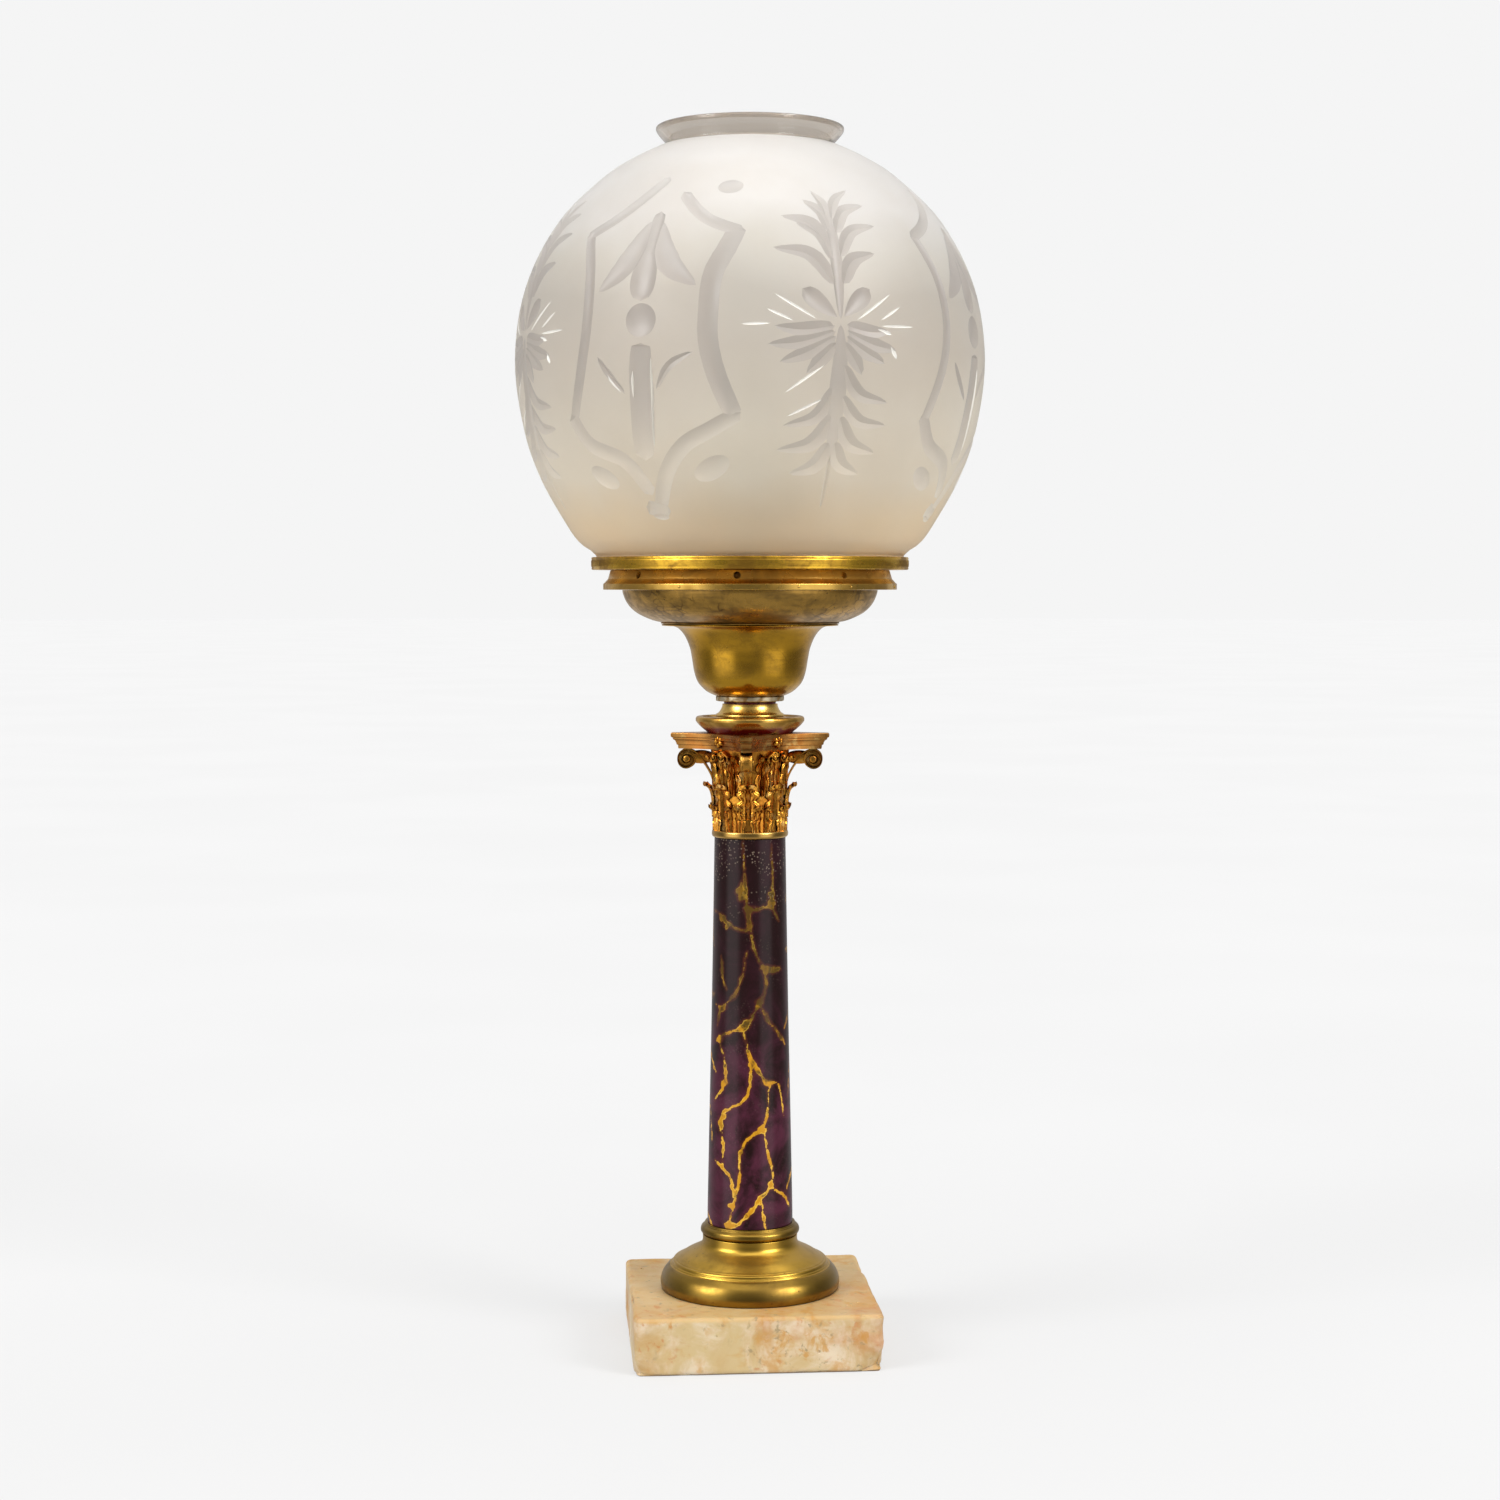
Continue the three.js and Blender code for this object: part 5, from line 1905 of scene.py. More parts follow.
@dataclass
class AirBandAndRing:
    """Vented band on the bowl and the milled ring that carries the globe."""

    finishes: Finishes
    soft: float = 0.3 * MM
    flange_radius: float = 76 * MM
    band_radius: float = 73 * MM
    flange_edge: float = 3 * MM
    wall: float = 1.2 * MM
    ledge_radius: float = 60.5 * MM
    vent: float = 1.8 * MM
    vent_height: float = 7.3 * MM
    vents: int = 8
    vent_turn: float = math.radians(35.4)
    rivet: float = 0.75 * MM
    rivets: tuple[float, ...] = (-122, -76.2, -53, -18, 27, 72, 118, 163)
    ring_radius: float = 82.2 * MM
    ring_edge: float = 0.8 * MM
    ring_worn: float = 1.5 * MM
    ring_lip: float = 1.8 * MM
    ring_floor: float = 1.5 * MM
    ring_inner: float = 68 * MM
    teeth: int = 300
    tooth: float = 0.3 * MM

    def build(self) -> None:
        """Spins both rings, pierces the band and mills the ring."""
        self._band()
        self._ring()

    def _band(self) -> None:
        """The vented band with its rivets."""
        base, height = base_of("vent_band"), height_of("vent_band")
        flange, edge, wall = self.flange_radius, self.flange_edge, self.wall
        bend = (self.band_radius + 0.5 * MM, self.vent_height - self.vent)
        top = (self.band_radius - 0.8 * MM, height)
        outline = [
            (self.ledge_radius, 0.0), (flange, 0.0), (flange, edge),
            (flange - 0.6 * MM, edge + 0.4 * MM), bend, top, (top[0] - wall, height),
            (bend[0] - wall, bend[1]), (flange - wall, edge), (flange - wall, wall),
            (self.ledge_radius, wall),
        ]
        shell = spun(lifted(eased(outline, self.soft), base), 192)
        inner, level = self.band_radius - 3 * wall, base + self.vent_height
        turns = [self.vent_turn + index * FULL_TURN / self.vents for index in range(self.vents)]
        tools = [radial_rod(self.vent, inner, flange, level, turn) for turn in turns]
        parts = [carved(shell, tools)]
        radii, middle = (0.5 * MM, self.rivet, self.rivet), (flange, 0, base + edge / 2)
        for degrees in self.rivets:
            parts.append(ball(radii, middle, math.radians(degrees), 6))
        publish(joined(parts), "air_band", [self.finishes.vented], "vent_band")

    def _ring(self) -> None:
        """The shade ring, whose edge is milled in upright teeth."""
        base, height = base_of("shade_ring"), height_of("shade_ring") - self.ring_worn
        lip = self.ring_radius - self.ring_lip
        rim = self.ring_radius
        outline = [
            (self.ring_inner, 0.0), (rim - self.ring_edge, 0.0), (rim - 0.2 * MM, 0.35 * MM),
            (rim - 0.35 * MM, 1.3 * MM), (rim - 0.05 * MM, 1.9 * MM), (rim, height - 1.9 * MM),
            (rim - 0.35 * MM, height - 1.3 * MM), (rim - 0.1 * MM, height - 0.8 * MM),
            (rim - 0.4 * MM, height), (lip, height), (lip, self.ring_floor),
            (self.ring_inner, self.ring_floor),
        ]
        shell = spun(lifted(eased(outline, self.soft / 2), base), 2 * self.teeth)
        low, high = base + 1.7 * MM, base + height - 1.7 * MM
        for vert in shell.verts:
            if low < vert.co.z < high and vert.co.xy.length > rim - self.ring_lip / 2:
                place = round(math.atan2(vert.co.y, vert.co.x) / FULL_TURN * 2 * self.teeth)
                if place % 2:
                    vert.co.xy *= 1 - self.tooth / rim
        publish(shell, "globe_ring", [self.finishes.ring], "shade_ring")


@dataclass
class Burner:
    """Inner pieces: gallery, deflector, chimney and wick, round the frame's own tubes."""

    finishes: Finishes
    soft: float = 0.25 * MM
    hub_inner: float = 12.8 * MM
    hub: float = 15.2 * MM
    cup_inner: float = 30.5 * MM
    cup: float = 31.9 * MM
    plate: float = 1.4 * MM
    hole: float = 2.1 * MM
    holes: int = 8
    deflector_foot: float = 27.9 * MM
    mouth: float = 12.5 * MM
    deflector_height: float = 17 * MM
    deflector_wall: float = 0.8 * MM
    deflector_shares: Points = ((1, 0), (0.98, 0.3), (0.8, 0.66), (0.45, 0.9), (0, 1))
    chimney_foot: float = 30 * MM
    chimney_top: float = 17 * MM
    chimney_wall: float = 1.6 * MM
    chimney_base: float = 22 * MM
    shoulder: float = 26 * MM
    stack: float = 124 * MM
    shoulder_shares: Points = ((1, 0), (0.96, 0.22), (0.5, 0.5), (0.1, 0.8), (0, 1))
    wick_inner: float = 9.3 * MM
    wick_outer: float = 11.3 * MM

    def build(self) -> None:
        """Builds the four new pieces and dresses the tubes and fixings."""
        self._gallery()
        self._deflector()
        self._chimney()
        self._wick()
        for node in ("draught_tube", "burner_tube", "raiser_sleeve", "wick_carrier"):
            dress_node(node, self.finishes.burner)
        for node in ("rod_washer", "rod_nut", "tie_rod", "font_spacer", "top_nut"):
            dress_node(node, self.finishes.iron)

    def _gallery(self) -> None:
        """The pierced plate with its hub and cup."""
        base, height = base_of("chimney_gallery"), height_of("chimney_gallery")
        hub_height = base_of("raiser_sleeve") + height_of("raiser_sleeve") - base
        outline = [
            (self.hub_inner, 0.0), (self.cup, 0.0), (self.cup, height), (self.cup_inner, height),
            (self.cup_inner, self.plate), (self.hub, self.plate), (self.hub, hub_height),
            (self.hub_inner, hub_height),
        ]
        shell = spun(lifted(eased(outline, self.soft), base), 96)
        reach = (self.hub + self.deflector_foot - self.deflector_wall) / 2
        tools = ring_of_bars(self.hole, reach, self.holes, base - height, base + height)
        cup = carved(shell, tools)
        finishes = [self.finishes.burner]
        publish(cup, "gallery_cup", finishes, "chimney_gallery", Body.RAISER)

    def _deflector(self) -> None:
        """The domed cone round the flame."""
        outer = flowing(outline_from(
            self.deflector_shares, self.mouth, self.deflector_foot, self.deflector_height,
        ))
        outline = [*outer, *reversed(inset(outer, self.deflector_wall))]
        turned(
            "deflector_cone", "deflector", outline, self.finishes.burner, 96,
            body=Body.RAISER,
        )

    def _chimney(self) -> None:
        """The blown chimney with fire polished ends."""
        top = self.chimney_base + self.shoulder
        waist = self.chimney_top + self.chimney_wall
        slope = flowing(outline_from(
            self.shoulder_shares, waist, self.chimney_foot, self.shoulder, self.chimney_base,
        ))
        outer = [(self.chimney_foot, 0.0), *slope, (waist - 0.4 * MM, top + self.stack / 3),
                 (self.chimney_top, top + self.stack)]
        outline = [*outer, *reversed(inset(outer, self.chimney_wall))]
        turned(
            "chimney_glass", "chimney", outline, self.finishes.clear, 112,
            2 * self.soft, Body.CHIMNEY,
        )

    def _wick(self) -> None:
        """The woven wick with a soft, uneven top."""
        low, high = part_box("wick")
        rows, tall = 24, high.z - low.z
        outer = [(self.wick_outer, low.z + tall * step / rows) for step in range(rows + 1)]
        inner = [(self.wick_inner, height) for _, height in reversed(outer)]
        shell = spun(eased([*outer, *inner], self.soft), 72)
        for vert in shell.verts:
            if vert.co.z > high.z - self.soft * 6:
                vert.co.z += self.soft * (noise.noise(vert.co * 900) - 0.6)
        publish(shell, "wick_tube", [self.finishes.cotton], "wick", Body.WICK_LIFT)


class Wheel(Enum):
    """Shapes that the cutter's wheel leaves in the glass."""

    MITRE = "mitre"
    LINE = "line"
    HOLLOW = "hollow"


@dataclass(frozen=True)
class Stroke:
    """One cut along a path over the globe.

    A path's points are degrees to the right of the motif's middle and millimetres
    above the floor, width and depth are millimetres, the bow and the lean are shares.
    """

    wheel: Wheel
    width: float
    depth: float
    path: Points
    bow: float = 0.0
    taper: float = 0.6
    lean: float = 1.0


@dataclass(frozen=True)
class Thumb:
    """One oval hollow: middle, radii across and up, depth, and tilt in degrees."""

    middle: Point
    across: float
    up: float
    depth: float
    tilt: float = 0.0


def mitres(width: float, depth: float, bow: float, *ends: Sequence[float]) -> list[Stroke]:
    """Leaves of one kind from their start and end points.

    Args:
        width: Width of each cut.
        depth: Its depth.
        bow: Its bend to one side.
        *ends: Start and end of each cut.

    Returns:
        The strokes.
    """
    return [
        Stroke(Wheel.MITRE, width, depth, (end[:2], end[2:]), bow, 0.75, 0.72) for end in ends
    ]


def lines(width: float, *ends: Sequence[float]) -> list[Stroke]:
    """Fine lines from their start and end points, which take the painted glint finish."""
    return [Stroke(Wheel.LINE, width, 0.6, (end[:2], end[2:])) for end in ends]


def hollows(width: float, depth: float, *paths: Points, taper: float = 0.06) -> list[Stroke]:
    """Wide hollow strokes of one kind from their paths."""
    return [Stroke(Wheel.HOLLOW, width, depth, path, taper=taper) for path in paths]


SPRAY: tuple[Stroke | Thumb, ...] = (
    *hollows(6.4, 0.9, ((0.2, 583), (0.2, 560), (0, 545), (0, 523)), taper=0.5),
    *hollows(9.4, 0.9, ((0, 521), (-0.2, 500), (-0.6, 480), (-0.8, 455)), taper=0.6),
    Stroke(Wheel.MITRE, 2.4, 0.9, ((-0.7, 462), (-0.8, 448), (-0.9, 434)), taper=0.6),
    *mitres(8.6, 1.3, 0.2, (-0.8, 539.6, -15.8, 557.2), (1.2, 539.7, 11.2, 556.3)),
    *mitres(7.2, 1.2, 0.2, (-0.6, 551.2, -9.6, 570.5), (1.2, 552.8, 13.8, 570.4),
            (-0.8, 558.3, -13.2, 573.2), (-0.3, 565.4, -6.6, 581.8), (1.2, 564.6, 12.4, 580.7)),
    *mitres(5.4, 1.1, 0.16, (0.9, 571.4, 9.1, 588.5), (-0.4, 571.3, -3.4, 587)),
    *lines(1.3, (-23.2, 520.3, -16.2, 520.8), (-17.5, 527.9, -11, 521.9),
           (-15.8, 535.3, -5.5, 522.7), (10.2, 520.8, 20.1, 521.4), (3.9, 522.8, 13.8, 536.9),
           (10.2, 523.4, 16.3, 530.9),
           (-3.5, 502.1, -13.3, 487.8), (-3.7, 485.9, -12.7, 476.8)),
    *lines(2.2, (8.8, 519.6, 13.4, 517.0), (12.9, 511.5, 14.8, 505.5)),
    *mitres(8.2, 1.0, -0.06, (-1.4, 520.2, -15.9, 519.4), (-1.2, 517.6, -17.3, 510.7),
            (-1.1, 515.4, -14.6, 502.3), (1.3, 520.5, 12.9, 518.2), (1.4, 517.8, 14.9, 509.4),
            (1.2, 515.2, 11.6, 503), (-0.9, 512.5, -8.2, 497), (0.8, 512.5, 5.6, 497)),
    *mitres(7.4, 1.15, 0.2, (0.6, 502.3, 13.4, 484.6), (0.5, 487.8, 13.7, 474),
            (-1.2, 492, -13.6, 472.5)),
    *mitres(8.6, 1.3, 0.2, (-1, 479.2, -15, 461.2), (0.4, 478.3, 11.8, 460.5),
            (-1.2, 466.1, -11.4, 450.2), (-0.2, 466.3, 8.3, 450.4)),
    Stroke(Wheel.HOLLOW, 9.6, 1.2, ((-0.8, 524), (-4.5, 530), (-8.9, 537.6)), 0.0, 0.5, 1.7),
    Stroke(Wheel.HOLLOW, 9.6, 1.2, ((0.8, 524.4), (4, 531), (8.0, 538.4)), 0.0, 0.5, 1.7),
)

CARTOUCHE: tuple[Stroke | Thumb, ...] = (
    *hollows(6.6, 1.15,
             ((-21.4, 569.6), (-16.9, 547.7), (-15.8, 524.5), (-17.7, 501.9), (-22.3, 476.5)),
             ((-22.4, 566), (-13.4, 574.6), (-6.5, 584.8), (-1.6, 595)),
             ((5.4, 586.3), (12, 574.3), (16.7, 569.2), (23.4, 565.2))),
    *hollows(8.4, 1.15,
             ((-23.1, 480.4), (-18, 465.3), (-8.4, 457.1), (-2.4, 441)),
             ((22.9, 479.1), (15.1, 470.7), (8.9, 464.2), (3.5, 452.1), (-0.9, 434.6))),
    *hollows(10.4, 1.3,
             ((22.3, 568.4), (19.5, 557.2), (16.4, 544.5), (15.5, 526.4), (15.6, 511.7),
              (17.6, 495.1), (21.6, 476))),
    *hollows(8.6, 1.1, ((-5.6, 435.4), (-2.2, 434), (1.8, 433))),
    Thumb((-1.6, 430.6), 4.4, 1.9, 1.0, -8),
    *hollows(7.4, 1.2, ((0.4, 576.5), (0.1, 566), (-0.3, 552)), taper=0.2),
    Stroke(Wheel.HOLLOW, 14.8, 1.5, ((-0.1, 566), (-0.5, 552), (-0.9, 541), (-1, 532.3)),
           0.0, 0.42, 1.5),
    Stroke(Wheel.HOLLOW, 13.6, 1.2, ((-1.2, 572), (-4.2, 557), (-7.6, 547.5), (-13.1, 537.9)),
           0.0, 0.7, 0.9),
    Stroke(Wheel.HOLLOW, 13.6, 1.2, ((1.0, 572), (3.2, 557), (6.4, 548), (12.5, 538.9)),
           0.0, 0.7, 0.9),
    Thumb((-0.7, 523.2), 8.75, 8.75, 1.5),
    *hollows(13.4, 1.2, ((-0.5, 512.2), (-0.8, 500), (-1.2, 482), (-2.2, 457)), taper=0.1),
    Stroke(Wheel.LINE, 1.6, 1.9, ((-2.9, 500.5), (-3.1, 494), (-3.3, 485)), taper=0.8),
    Stroke(Wheel.LINE, 1.8, 1.9, ((1.9, 506), (1.8, 488), (1.0, 463)), taper=0.5),
    Stroke(Wheel.MITRE, 3.6, 1.0, ((-12.6, 507), (-9.5, 498.4), (-5.1, 488.5))),
    Stroke(Wheel.LINE, 1.2, 0.6, ((-11.2, 502), (-8.7, 494.6), (-6.1, 489))),
    Stroke(Wheel.MITRE, 4.2, 1.0, ((12.1, 507.8), (6.4, 501.5), (2.9, 490.1))),
    Thumb((15.3, 452.9), 11, 5.8, 1.3, 30), Thumb((-16.5, 449.5), 10, 5.4, 1.3, -30),
    Thumb((19.3, 588.4), 6.5, 5, 1.2, 12),
)


@dataclass
class Globe:
    """Ground glass globe with its wheel cut pattern and a polished flared rim."""

    finishes: Finishes
    fitter_radius: float = 79.4 * MM
    belly_radius: float = 120.8 * MM
    neck_radius: float = 41.9 * MM
    rim_radius: float = 48.4 * MM
    fitter_height: float = 5.5 * MM
    belly_height: float = 100 * MM
    dome_height: float = 110.2 * MM
    rim_height: float = 9.1 * MM
    wall: float = 2.6 * MM
    soft: float = 0.5 * MM
    steps: int = 224
    row: float = 3.2 * MM
    polish_from: float = 213.5 * MM
    polish_row: float = 0.35
    crease: float = math.radians(24)
    clear_of: float = 0.45 * MM
    bite: float = 2.2 * MM
    rise: float = 1.6
    view_turn: float = math.radians(-94.6)
    swell: Points = (
        (0, 0), (0.05, 0.022), (0.2, 0.064), (0.345, 0.144), (0.68, 0.39), (0.885, 0.634), (1, 1),
    )
    dome: Points = (
        (1, 0), (0.929, 0.331), (0.719, 0.627), (0.42, 0.84), (0.234, 0.925), (0.08, 0.978), (0, 1),
    )
    rim: Points = ((0, 0), (0.32, 0.22), (0.9, 0.7), (1, 0.92), (0.83, 1))
    motifs: tuple[tuple[float, bool], ...] = (
        (-69, True), (-25, False), (21, True), (69, False), (113.4, True), (157.8, False),
        (202.2, True), (246.6, False),
    )

    def build(self) -> None:
        """Blows, cuts and polishes the globe."""
        base = base_of("globe")
        belly = self.fitter_height + self.belly_height
        neck = belly + self.dome_height
        swell = outline_from(
            self.swell, self.fitter_radius, self.belly_radius, self.belly_height,
            self.fitter_height,
        )
        dome = outline_from(self.dome, self.neck_radius, self.belly_radius, self.dome_height, belly)
        rim = outline_from(self.rim, self.neck_radius, self.rim_radius, self.rim_height, neck)
        line = [*flowing([*swell, *dome[1:]]), *flowing(rim, 4)[1:]]
        outer = [(self.fitter_radius, 0.0), *self._even(line)]
        outline = eased([*outer, *reversed(inset(outer, self.wall))], self.soft)
        self.profile = lifted(outer, base)
        shell = spun(lifted(outline, base), self.steps)
        glass = [self.finishes.ground, self.finishes.cut, self.finishes.painted_glint, self.finishes.rim]
        for layer in self._layers():
            shell = carved(shell, [layer], glass)
        self._polish(shell, base)
        publish(shell, "globe_glass", glass, "globe", Body.SHADE, self.crease)

    def _even(self, line: Outline) -> Outline:
        """The line with points about one row apart, closer in the polished rim.

        Args:
            line: The line's points.

        Returns:
            The points that are kept.
        """
        kept = [line[0]]
        for point in line[1:-1]:
            share = self.polish_row if point[1] > self.polish_from else 1
            if math.dist(point, kept[-1]) >= self.row * share:
                kept.append(point)
        return [*kept, line[-1]]

    def _polish(self, shell: Shell, base: float) -> None:
        """Gives the rim and the inner wall the polished finish.

        Args:
            shell: The globe's shell.
            base: Height of its foot.
        """
        for face in shell.faces:
            middle = face.calc_center_median()
            outside = radius_at(self.profile, middle.z)
            inner = middle.xy.length < outside - self.wall * 0.72
            if middle.z > base + self.polish_from or (inner and face.material_index == 0):
                face.material_index = 3

    def _spot(self, degrees: float, height: float, lift: float = 0.0) -> Vector:
        """Place on the globe, or over it by a lift.

        Args:
            degrees: Angle to the right of the view, from its middle.
            height: Height above the floor in metres.
            lift: Distance outwards from the surface.

        Returns:
            The place.
        """
        low = radius_at(self.profile, height - self.row)
        high = radius_at(self.profile, height + self.row)
        out = Vector((2 * self.row, low - high)).normalized()
        radius = radius_at(self.profile, height) + out.x * lift
        turn = self.view_turn + math.radians(degrees)
        return Vector((radius * math.cos(turn), radius * math.sin(turn), height + out.y * lift))

    def _layers(self) -> list[Shell]:
        """Cutters in as few layers as keep those of a layer apart.

        Returns:
            One shell for each layer.
        """
        layers: list[list[tuple[Vector, Vector, Shell]]] = []
        for turn, spray in self.motifs:
            for mark in SPRAY if spray else CARTOUCHE:
                thumb = isinstance(mark, Thumb)
                tool = self._thumb(mark, turn) if thumb else self._stroke(mark, turn)
                # Fine lines take the painted glint finish, and every other cut takes the cut glass.
                for face in tool.faces:
                    face.material_index = 1 if thumb or mark.wheel is not Wheel.LINE else 2
                low, high = (
                    Vector([most(vert.co[axis] for vert in tool.verts) for axis in range(3)])
                    for most in (min, max)
                )
                for layer in layers:
                    if not any(
                        all(low[axis] < top[axis] and high[axis] > foot[axis] for axis in range(3))
                        for foot, top, _ in layer
                    ):
                        layer.append((low, high, tool))
                        break
                else:
                    layers.append([(low, high, tool)])
        LOG.info("globe: %d cuts in %d layers", sum(map(len, layers)), len(layers))
        return [joined([tool for _, _, tool in layer]) for layer in layers]

    def _stroke(self, mark: Stroke, turn: float) -> Shell:
        """The wheel's shape along one stroke.

        Args:
            mark: The stroke.
            turn: Angle of the motif's middle.

        Returns:
            A closed cutter.
        """
        path = [(turn + a, h * MM) for a, h in mark.path]
        if len(path) == 2:
            path.insert(1, self._bowed(path[0], path[1], mark.bow))
        middles = [self._spot(a, h) for a, h in path]
        length = sum((b - a).length for a, b in zip(middles, middles[1:]))
        rings = max(8, round(length / self.bite))
        line = flowing([(a, h / MM) for a, h in path], 12)
        sides = 12 if mark.wheel is Wheel.HOLLOW else 3
        tool = bmesh.new()
        bmesh.ops.create_cone(
            tool, cap_ends=True, segments=sides, radius1=1.0, radius2=1.0, depth=1.0,
        )
        upright = [edge for edge in tool.edges if climb(edge) > 0.5]
        bmesh.ops.subdivide_edges(tool, edges=upright, cuts=rings - 1)
        for vert in tool.verts:
            share = vert.co.z + 0.5
            place = round(math.atan2(vert.co.y, vert.co.x) / FULL_TURN * sides) % sides
            belly = math.pi * min(max(share, 0.0), 1.0) ** mark.lean
            swell = max(math.sin(belly), 0.0) ** mark.taper
            across, down = self._section(place, sides, mark.width * MM, mark.depth * MM, swell)
            spot, ahead, behind = (along(line, share + step) for step in (0.0, 0.01, -0.01))
            here = self._spot(spot.x, spot.y * MM)
            run = self._spot(ahead.x, ahead.y * MM) - self._spot(behind.x, behind.y * MM)
            out = (self._spot(spot.x, spot.y * MM, 1.0) - here).normalized()
            vert.co = here + run.normalized().cross(out) * across + out * down
        return tidied(tool)

    def _section(self, place: int, sides: int, width: float, depth: float, swell: float) -> Point:
        """Place of one corner of a cutter's section.

        Args:
            place: Number of the corner.
            sides: Corners of the section, three for a sharp wheel.
            width: Width of the cut at the surface.
            depth: Its depth.
            swell: Share of width and depth here.

        Returns:
            Distance across, and height over the surface.
        """
        over = self.clear_of
        deep = depth * swell * 1.04 - depth * 0.04
        half = max(width / 2 * swell, 0.02 * MM)
        if sides == 3:
            spread = half * (1 + over / max(deep, 0.3 * MM))
            return ((0.0, -deep), (spread, over), (-spread, over))[place]
        angle = FULL_TURN * place / sides
        deep = max(deep, 0.05 * MM)
        across = math.sqrt(1 + over / deep) * math.cos(angle)
        if 2 * place <= sides:
            return half * across, deep * (across * across - 1)
        return half * across, over - 0.2 * MM * math.sin(angle)

    def _bowed(self, start: Point, end: Point, bow: float) -> Point:
        """Middle of a stroke pushed to one side by a share of its length.

        Args:
            start: Start of the stroke.
            end: End of the stroke.
            bow: The share.

        Returns:
            The middle.
        """
        middle = ((start[0] + end[0]) / 2, (start[1] + end[1]) / 2)
        radius = radius_at(self.profile, middle[1])
        run_across = math.radians(end[0] - start[0]) * radius
        run_up = end[1] - start[1]
        hand = math.copysign(1, run_across)
        return (
            middle[0] - hand * math.degrees(abs(run_up) * bow / radius),
            middle[1] + math.copysign(abs(run_across) * bow, run_up),
        )

    def _thumb(self, mark: Thumb, turn: float) -> Shell:
        """A ball that leaves one oval hollow.

        Args:
            mark: The hollow.
            turn: Turn of its motif, in degrees.

        Returns:
            The ball.
        """
        grow = 1 / math.sqrt(1 - (self.rise / (1 + self.rise)) ** 2)
        deep = mark.depth * MM
        middle = (turn + mark.middle[0], mark.middle[1] * MM)
        here = self._spot(*middle)
        out = (self._spot(*middle, 1.0) - here).normalized()
        side = Vector((0, 0, 1)).cross(out).normalized()
        lay = Matrix((side, out.cross(side), out)).transposed().to_4x4()
        radii = (mark.across * MM * grow, mark.up * MM * grow, deep * (1 + self.rise), 1)
        tool = bmesh.new()
        place = Matrix.Translation(here + out * deep * self.rise) @ lay
        place = place @ about(math.radians(mark.tilt)) @ Matrix.Diagonal(radii)
        bmesh.ops.create_uvsphere(tool, u_segments=28, v_segments=16, radius=1.0, matrix=place)
        return tidied(tool)


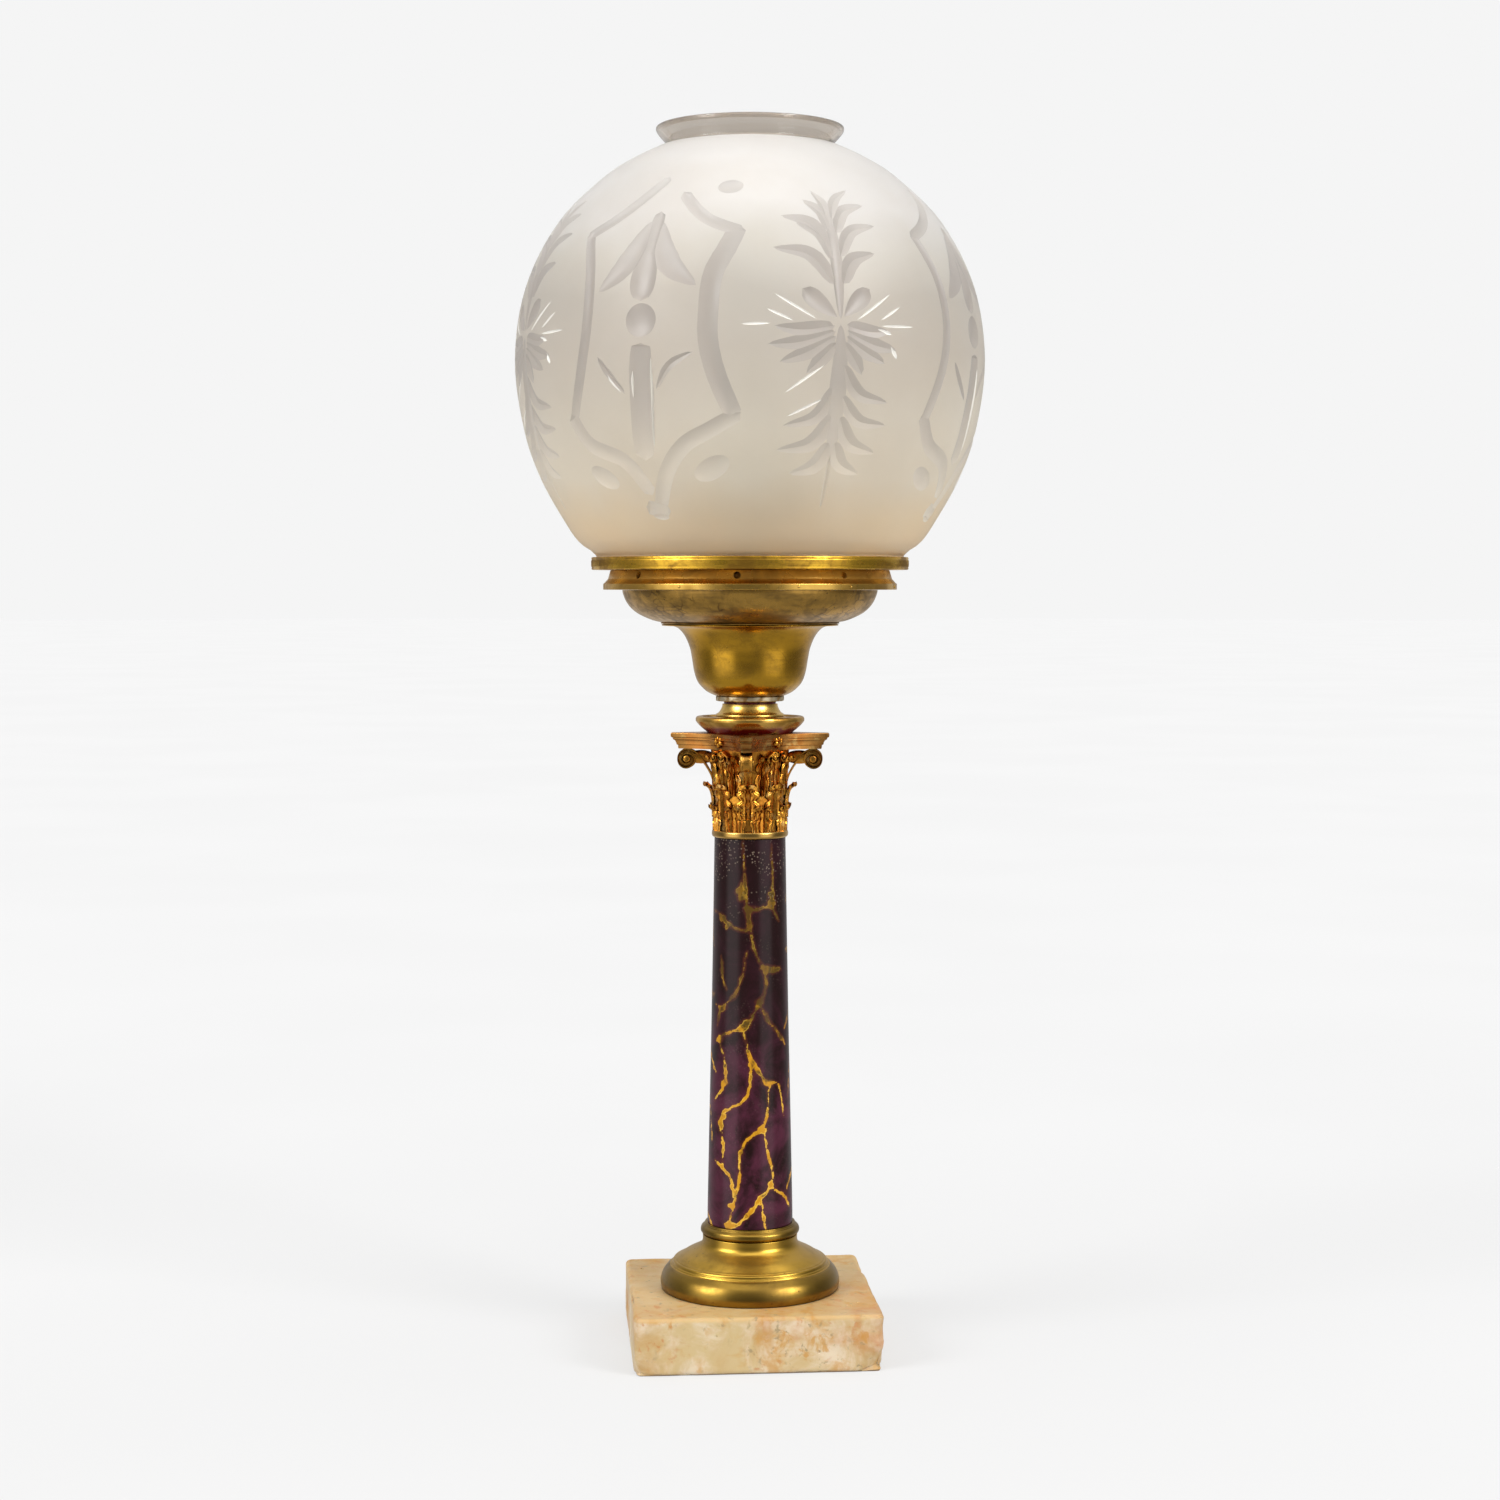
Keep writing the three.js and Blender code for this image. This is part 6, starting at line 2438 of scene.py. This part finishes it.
@dataclass
class Studio:
    """Pale floor, soft lights and the camera."""

    lens: float = 65.5
    sensor: float = 36.0
    distance: float = 1.4169
    height: float = 0.3978
    yaw: float = math.radians(4.6)
    pitch: float = math.radians(3.48)
    floor_reach: float = 30.0
    backdrop: float = 0.913
    floor_tone: float = 0.24
    floor_glow: float = 0.568
    room_front: float = 0.13
    room_back: float = 0.5
    room_top: float = 0.42
    room_below: float = 0.3
    strips: Rows = ((-56, 22, 1.15), (50, 20, 0.95))
    strip_ends: tuple[float, float, float, float] = (-0.6, -0.3, 0.6, 0.85)
    # name, strength, and degrees to the right of the view, above the horizon and across
    suns: tuple[tuple[str, float, float, float, float], ...] = (
        ("front_left", 1.4, -60, 32, 26), ("front_right", 1.6, 55, 32, 24),
        ("overhead", 1.2, 20, 80, 70),
    )

    def build(self) -> None:
        """Sets up the camera, the lights, the world and the floor."""
        scene = bpy.context.scene
        scene.view_settings.view_transform = "Standard"
        camera = bpy.data.cameras.new("camera")
        camera.lens, camera.sensor_width, camera.sensor_fit = self.lens, self.sensor, "HORIZONTAL"
        camera.clip_start, camera.clip_end = 0.05, 100.0
        held = bpy.data.objects.new("camera", camera)
        held.location = (
            -self.distance * math.sin(self.yaw), -self.distance * math.cos(self.yaw), self.height,
        )
        held.rotation_euler = (QUARTER_TURN - self.pitch, 0, -self.yaw)
        scene.collection.objects.link(held)
        scene.camera = held
        for name, strength, side, up, spread in self.suns:
            light = bpy.data.lights.new(name, "SUN")
            light.energy, light.angle = strength, math.radians(spread)
            sun = bpy.data.objects.new(name, light)
            tilt = QUARTER_TURN - math.radians(up)
            sun.rotation_euler = (tilt, 0, math.radians(side) - self.yaw)
            scene.collection.objects.link(sun)
        self._world(scene)
        self._floor()

    def _world(self, scene: bpy.types.Scene) -> None:
        """White behind the lamp, and a dimmer room for its light and reflections.

        Args:
            scene: The scene.
        """
        world = bpy.data.worlds.new("studio_room")
        world.use_nodes = True
        bench = Bench("studio_room", world.node_tree)
        seen = bench.add("ShaderNodeBackground", {"Color": (self.backdrop,) * 3 + (1,)})
        source = bench.add("ShaderNodeTexCoord").outputs["Generated"]
        ways = bench.add("ShaderNodeSeparateXYZ", {0: source}).outputs
        side = bench.span(ways["Y"], 0.1, 0.95, self.room_front, self.room_back)
        level = bench.plus(side, bench.span(ways["Z"], 0.2, 1.0, 0.0, self.room_top))
        below = bench.span(ways["Z"], -0.6, -0.15, self.room_below, 0.0)
        level = bench.plus(level, below)
        turn = bench.sum("ARCTAN2", ways["X"], bench.times(ways["Y"], -1.0))
        foot, low, high, head = self.strip_ends
        tall = bench.times(bench.span(ways["Z"], foot, low),
                         bench.span(ways["Z"], high, head, 1.0, 0.0))
        for degrees, spread, strength in self.strips:
            off = bench.sum("SUBTRACT", turn, math.radians(degrees) - self.yaw)
            away, half = bench.sum("ABSOLUTE", off, 0.0), math.radians(spread)
            strip = bench.span(away, half / 2, half * 1.4, strength, 0.0)
            level = bench.plus(level, bench.times(strip, tall))
        room = bench.add("ShaderNodeBackground", {"Color": level})
        path = bench.add("ShaderNodeLightPath").outputs["Is Camera Ray"]
        mix = bench.add("ShaderNodeMixShader", {0: path, 1: room.outputs[0], 2: seen.outputs[0]})
        bench.tree.links.new(mix.outputs[0], bench.output.inputs["Surface"])
        scene.world = world

    def _floor(self) -> None:
        """A wide pale disc under the lamp."""
        disc = bmesh.new()
        bmesh.ops.create_circle(disc, cap_ends=True, segments=96, radius=self.floor_reach)
        bench = Bench("studio_floor")
        tone = (self.floor_tone,) * 3 + (1.0,)
        specks = bench.span(bench.cloud(2.0, 2), 0.3, 0.7, 0.0, 0.02)
        material = bench.surface(
            Base_Color=bench.blend(specks, tone, (0.8, 0.8, 0.8, 1)), Roughness=1.0,
            Specular_IOR_Level=0.0, Emission_Color=(1, 1, 1, 1), Emission_Strength=self.floor_glow,
        )
        surface = bench.output.inputs["Surface"]
        lit = surface.links[0].from_socket
        path = bench.add("ShaderNodeLightPath").outputs
        mirrored = bench.sum("SUBTRACT", path["Is Glossy Ray"], path["Is Transmission Ray"])
        dim = bench.add("ShaderNodeBsdfTransparent").outputs[0]
        mix = bench.add("ShaderNodeMixShader", {0: mirrored, 1: lit, 2: dim})
        bench.tree.links.new(mix.outputs[0], surface)
        loose_object("floor", disc, [material])


def main() -> None:
    """Builds the lamp from the floor up, then the studio."""
    logging.basicConfig(level=logging.INFO, format="%(message)s")
    Studio().build()
    finishes = Finishes()
    for assembly in (
        Plinth, FootAndBead, Column, Capital, DishAndSpool, Font, AirBandAndRing, Burner, Globe,
    ):
        assembly(finishes).build()


if __name__ == "__main__":
    main()
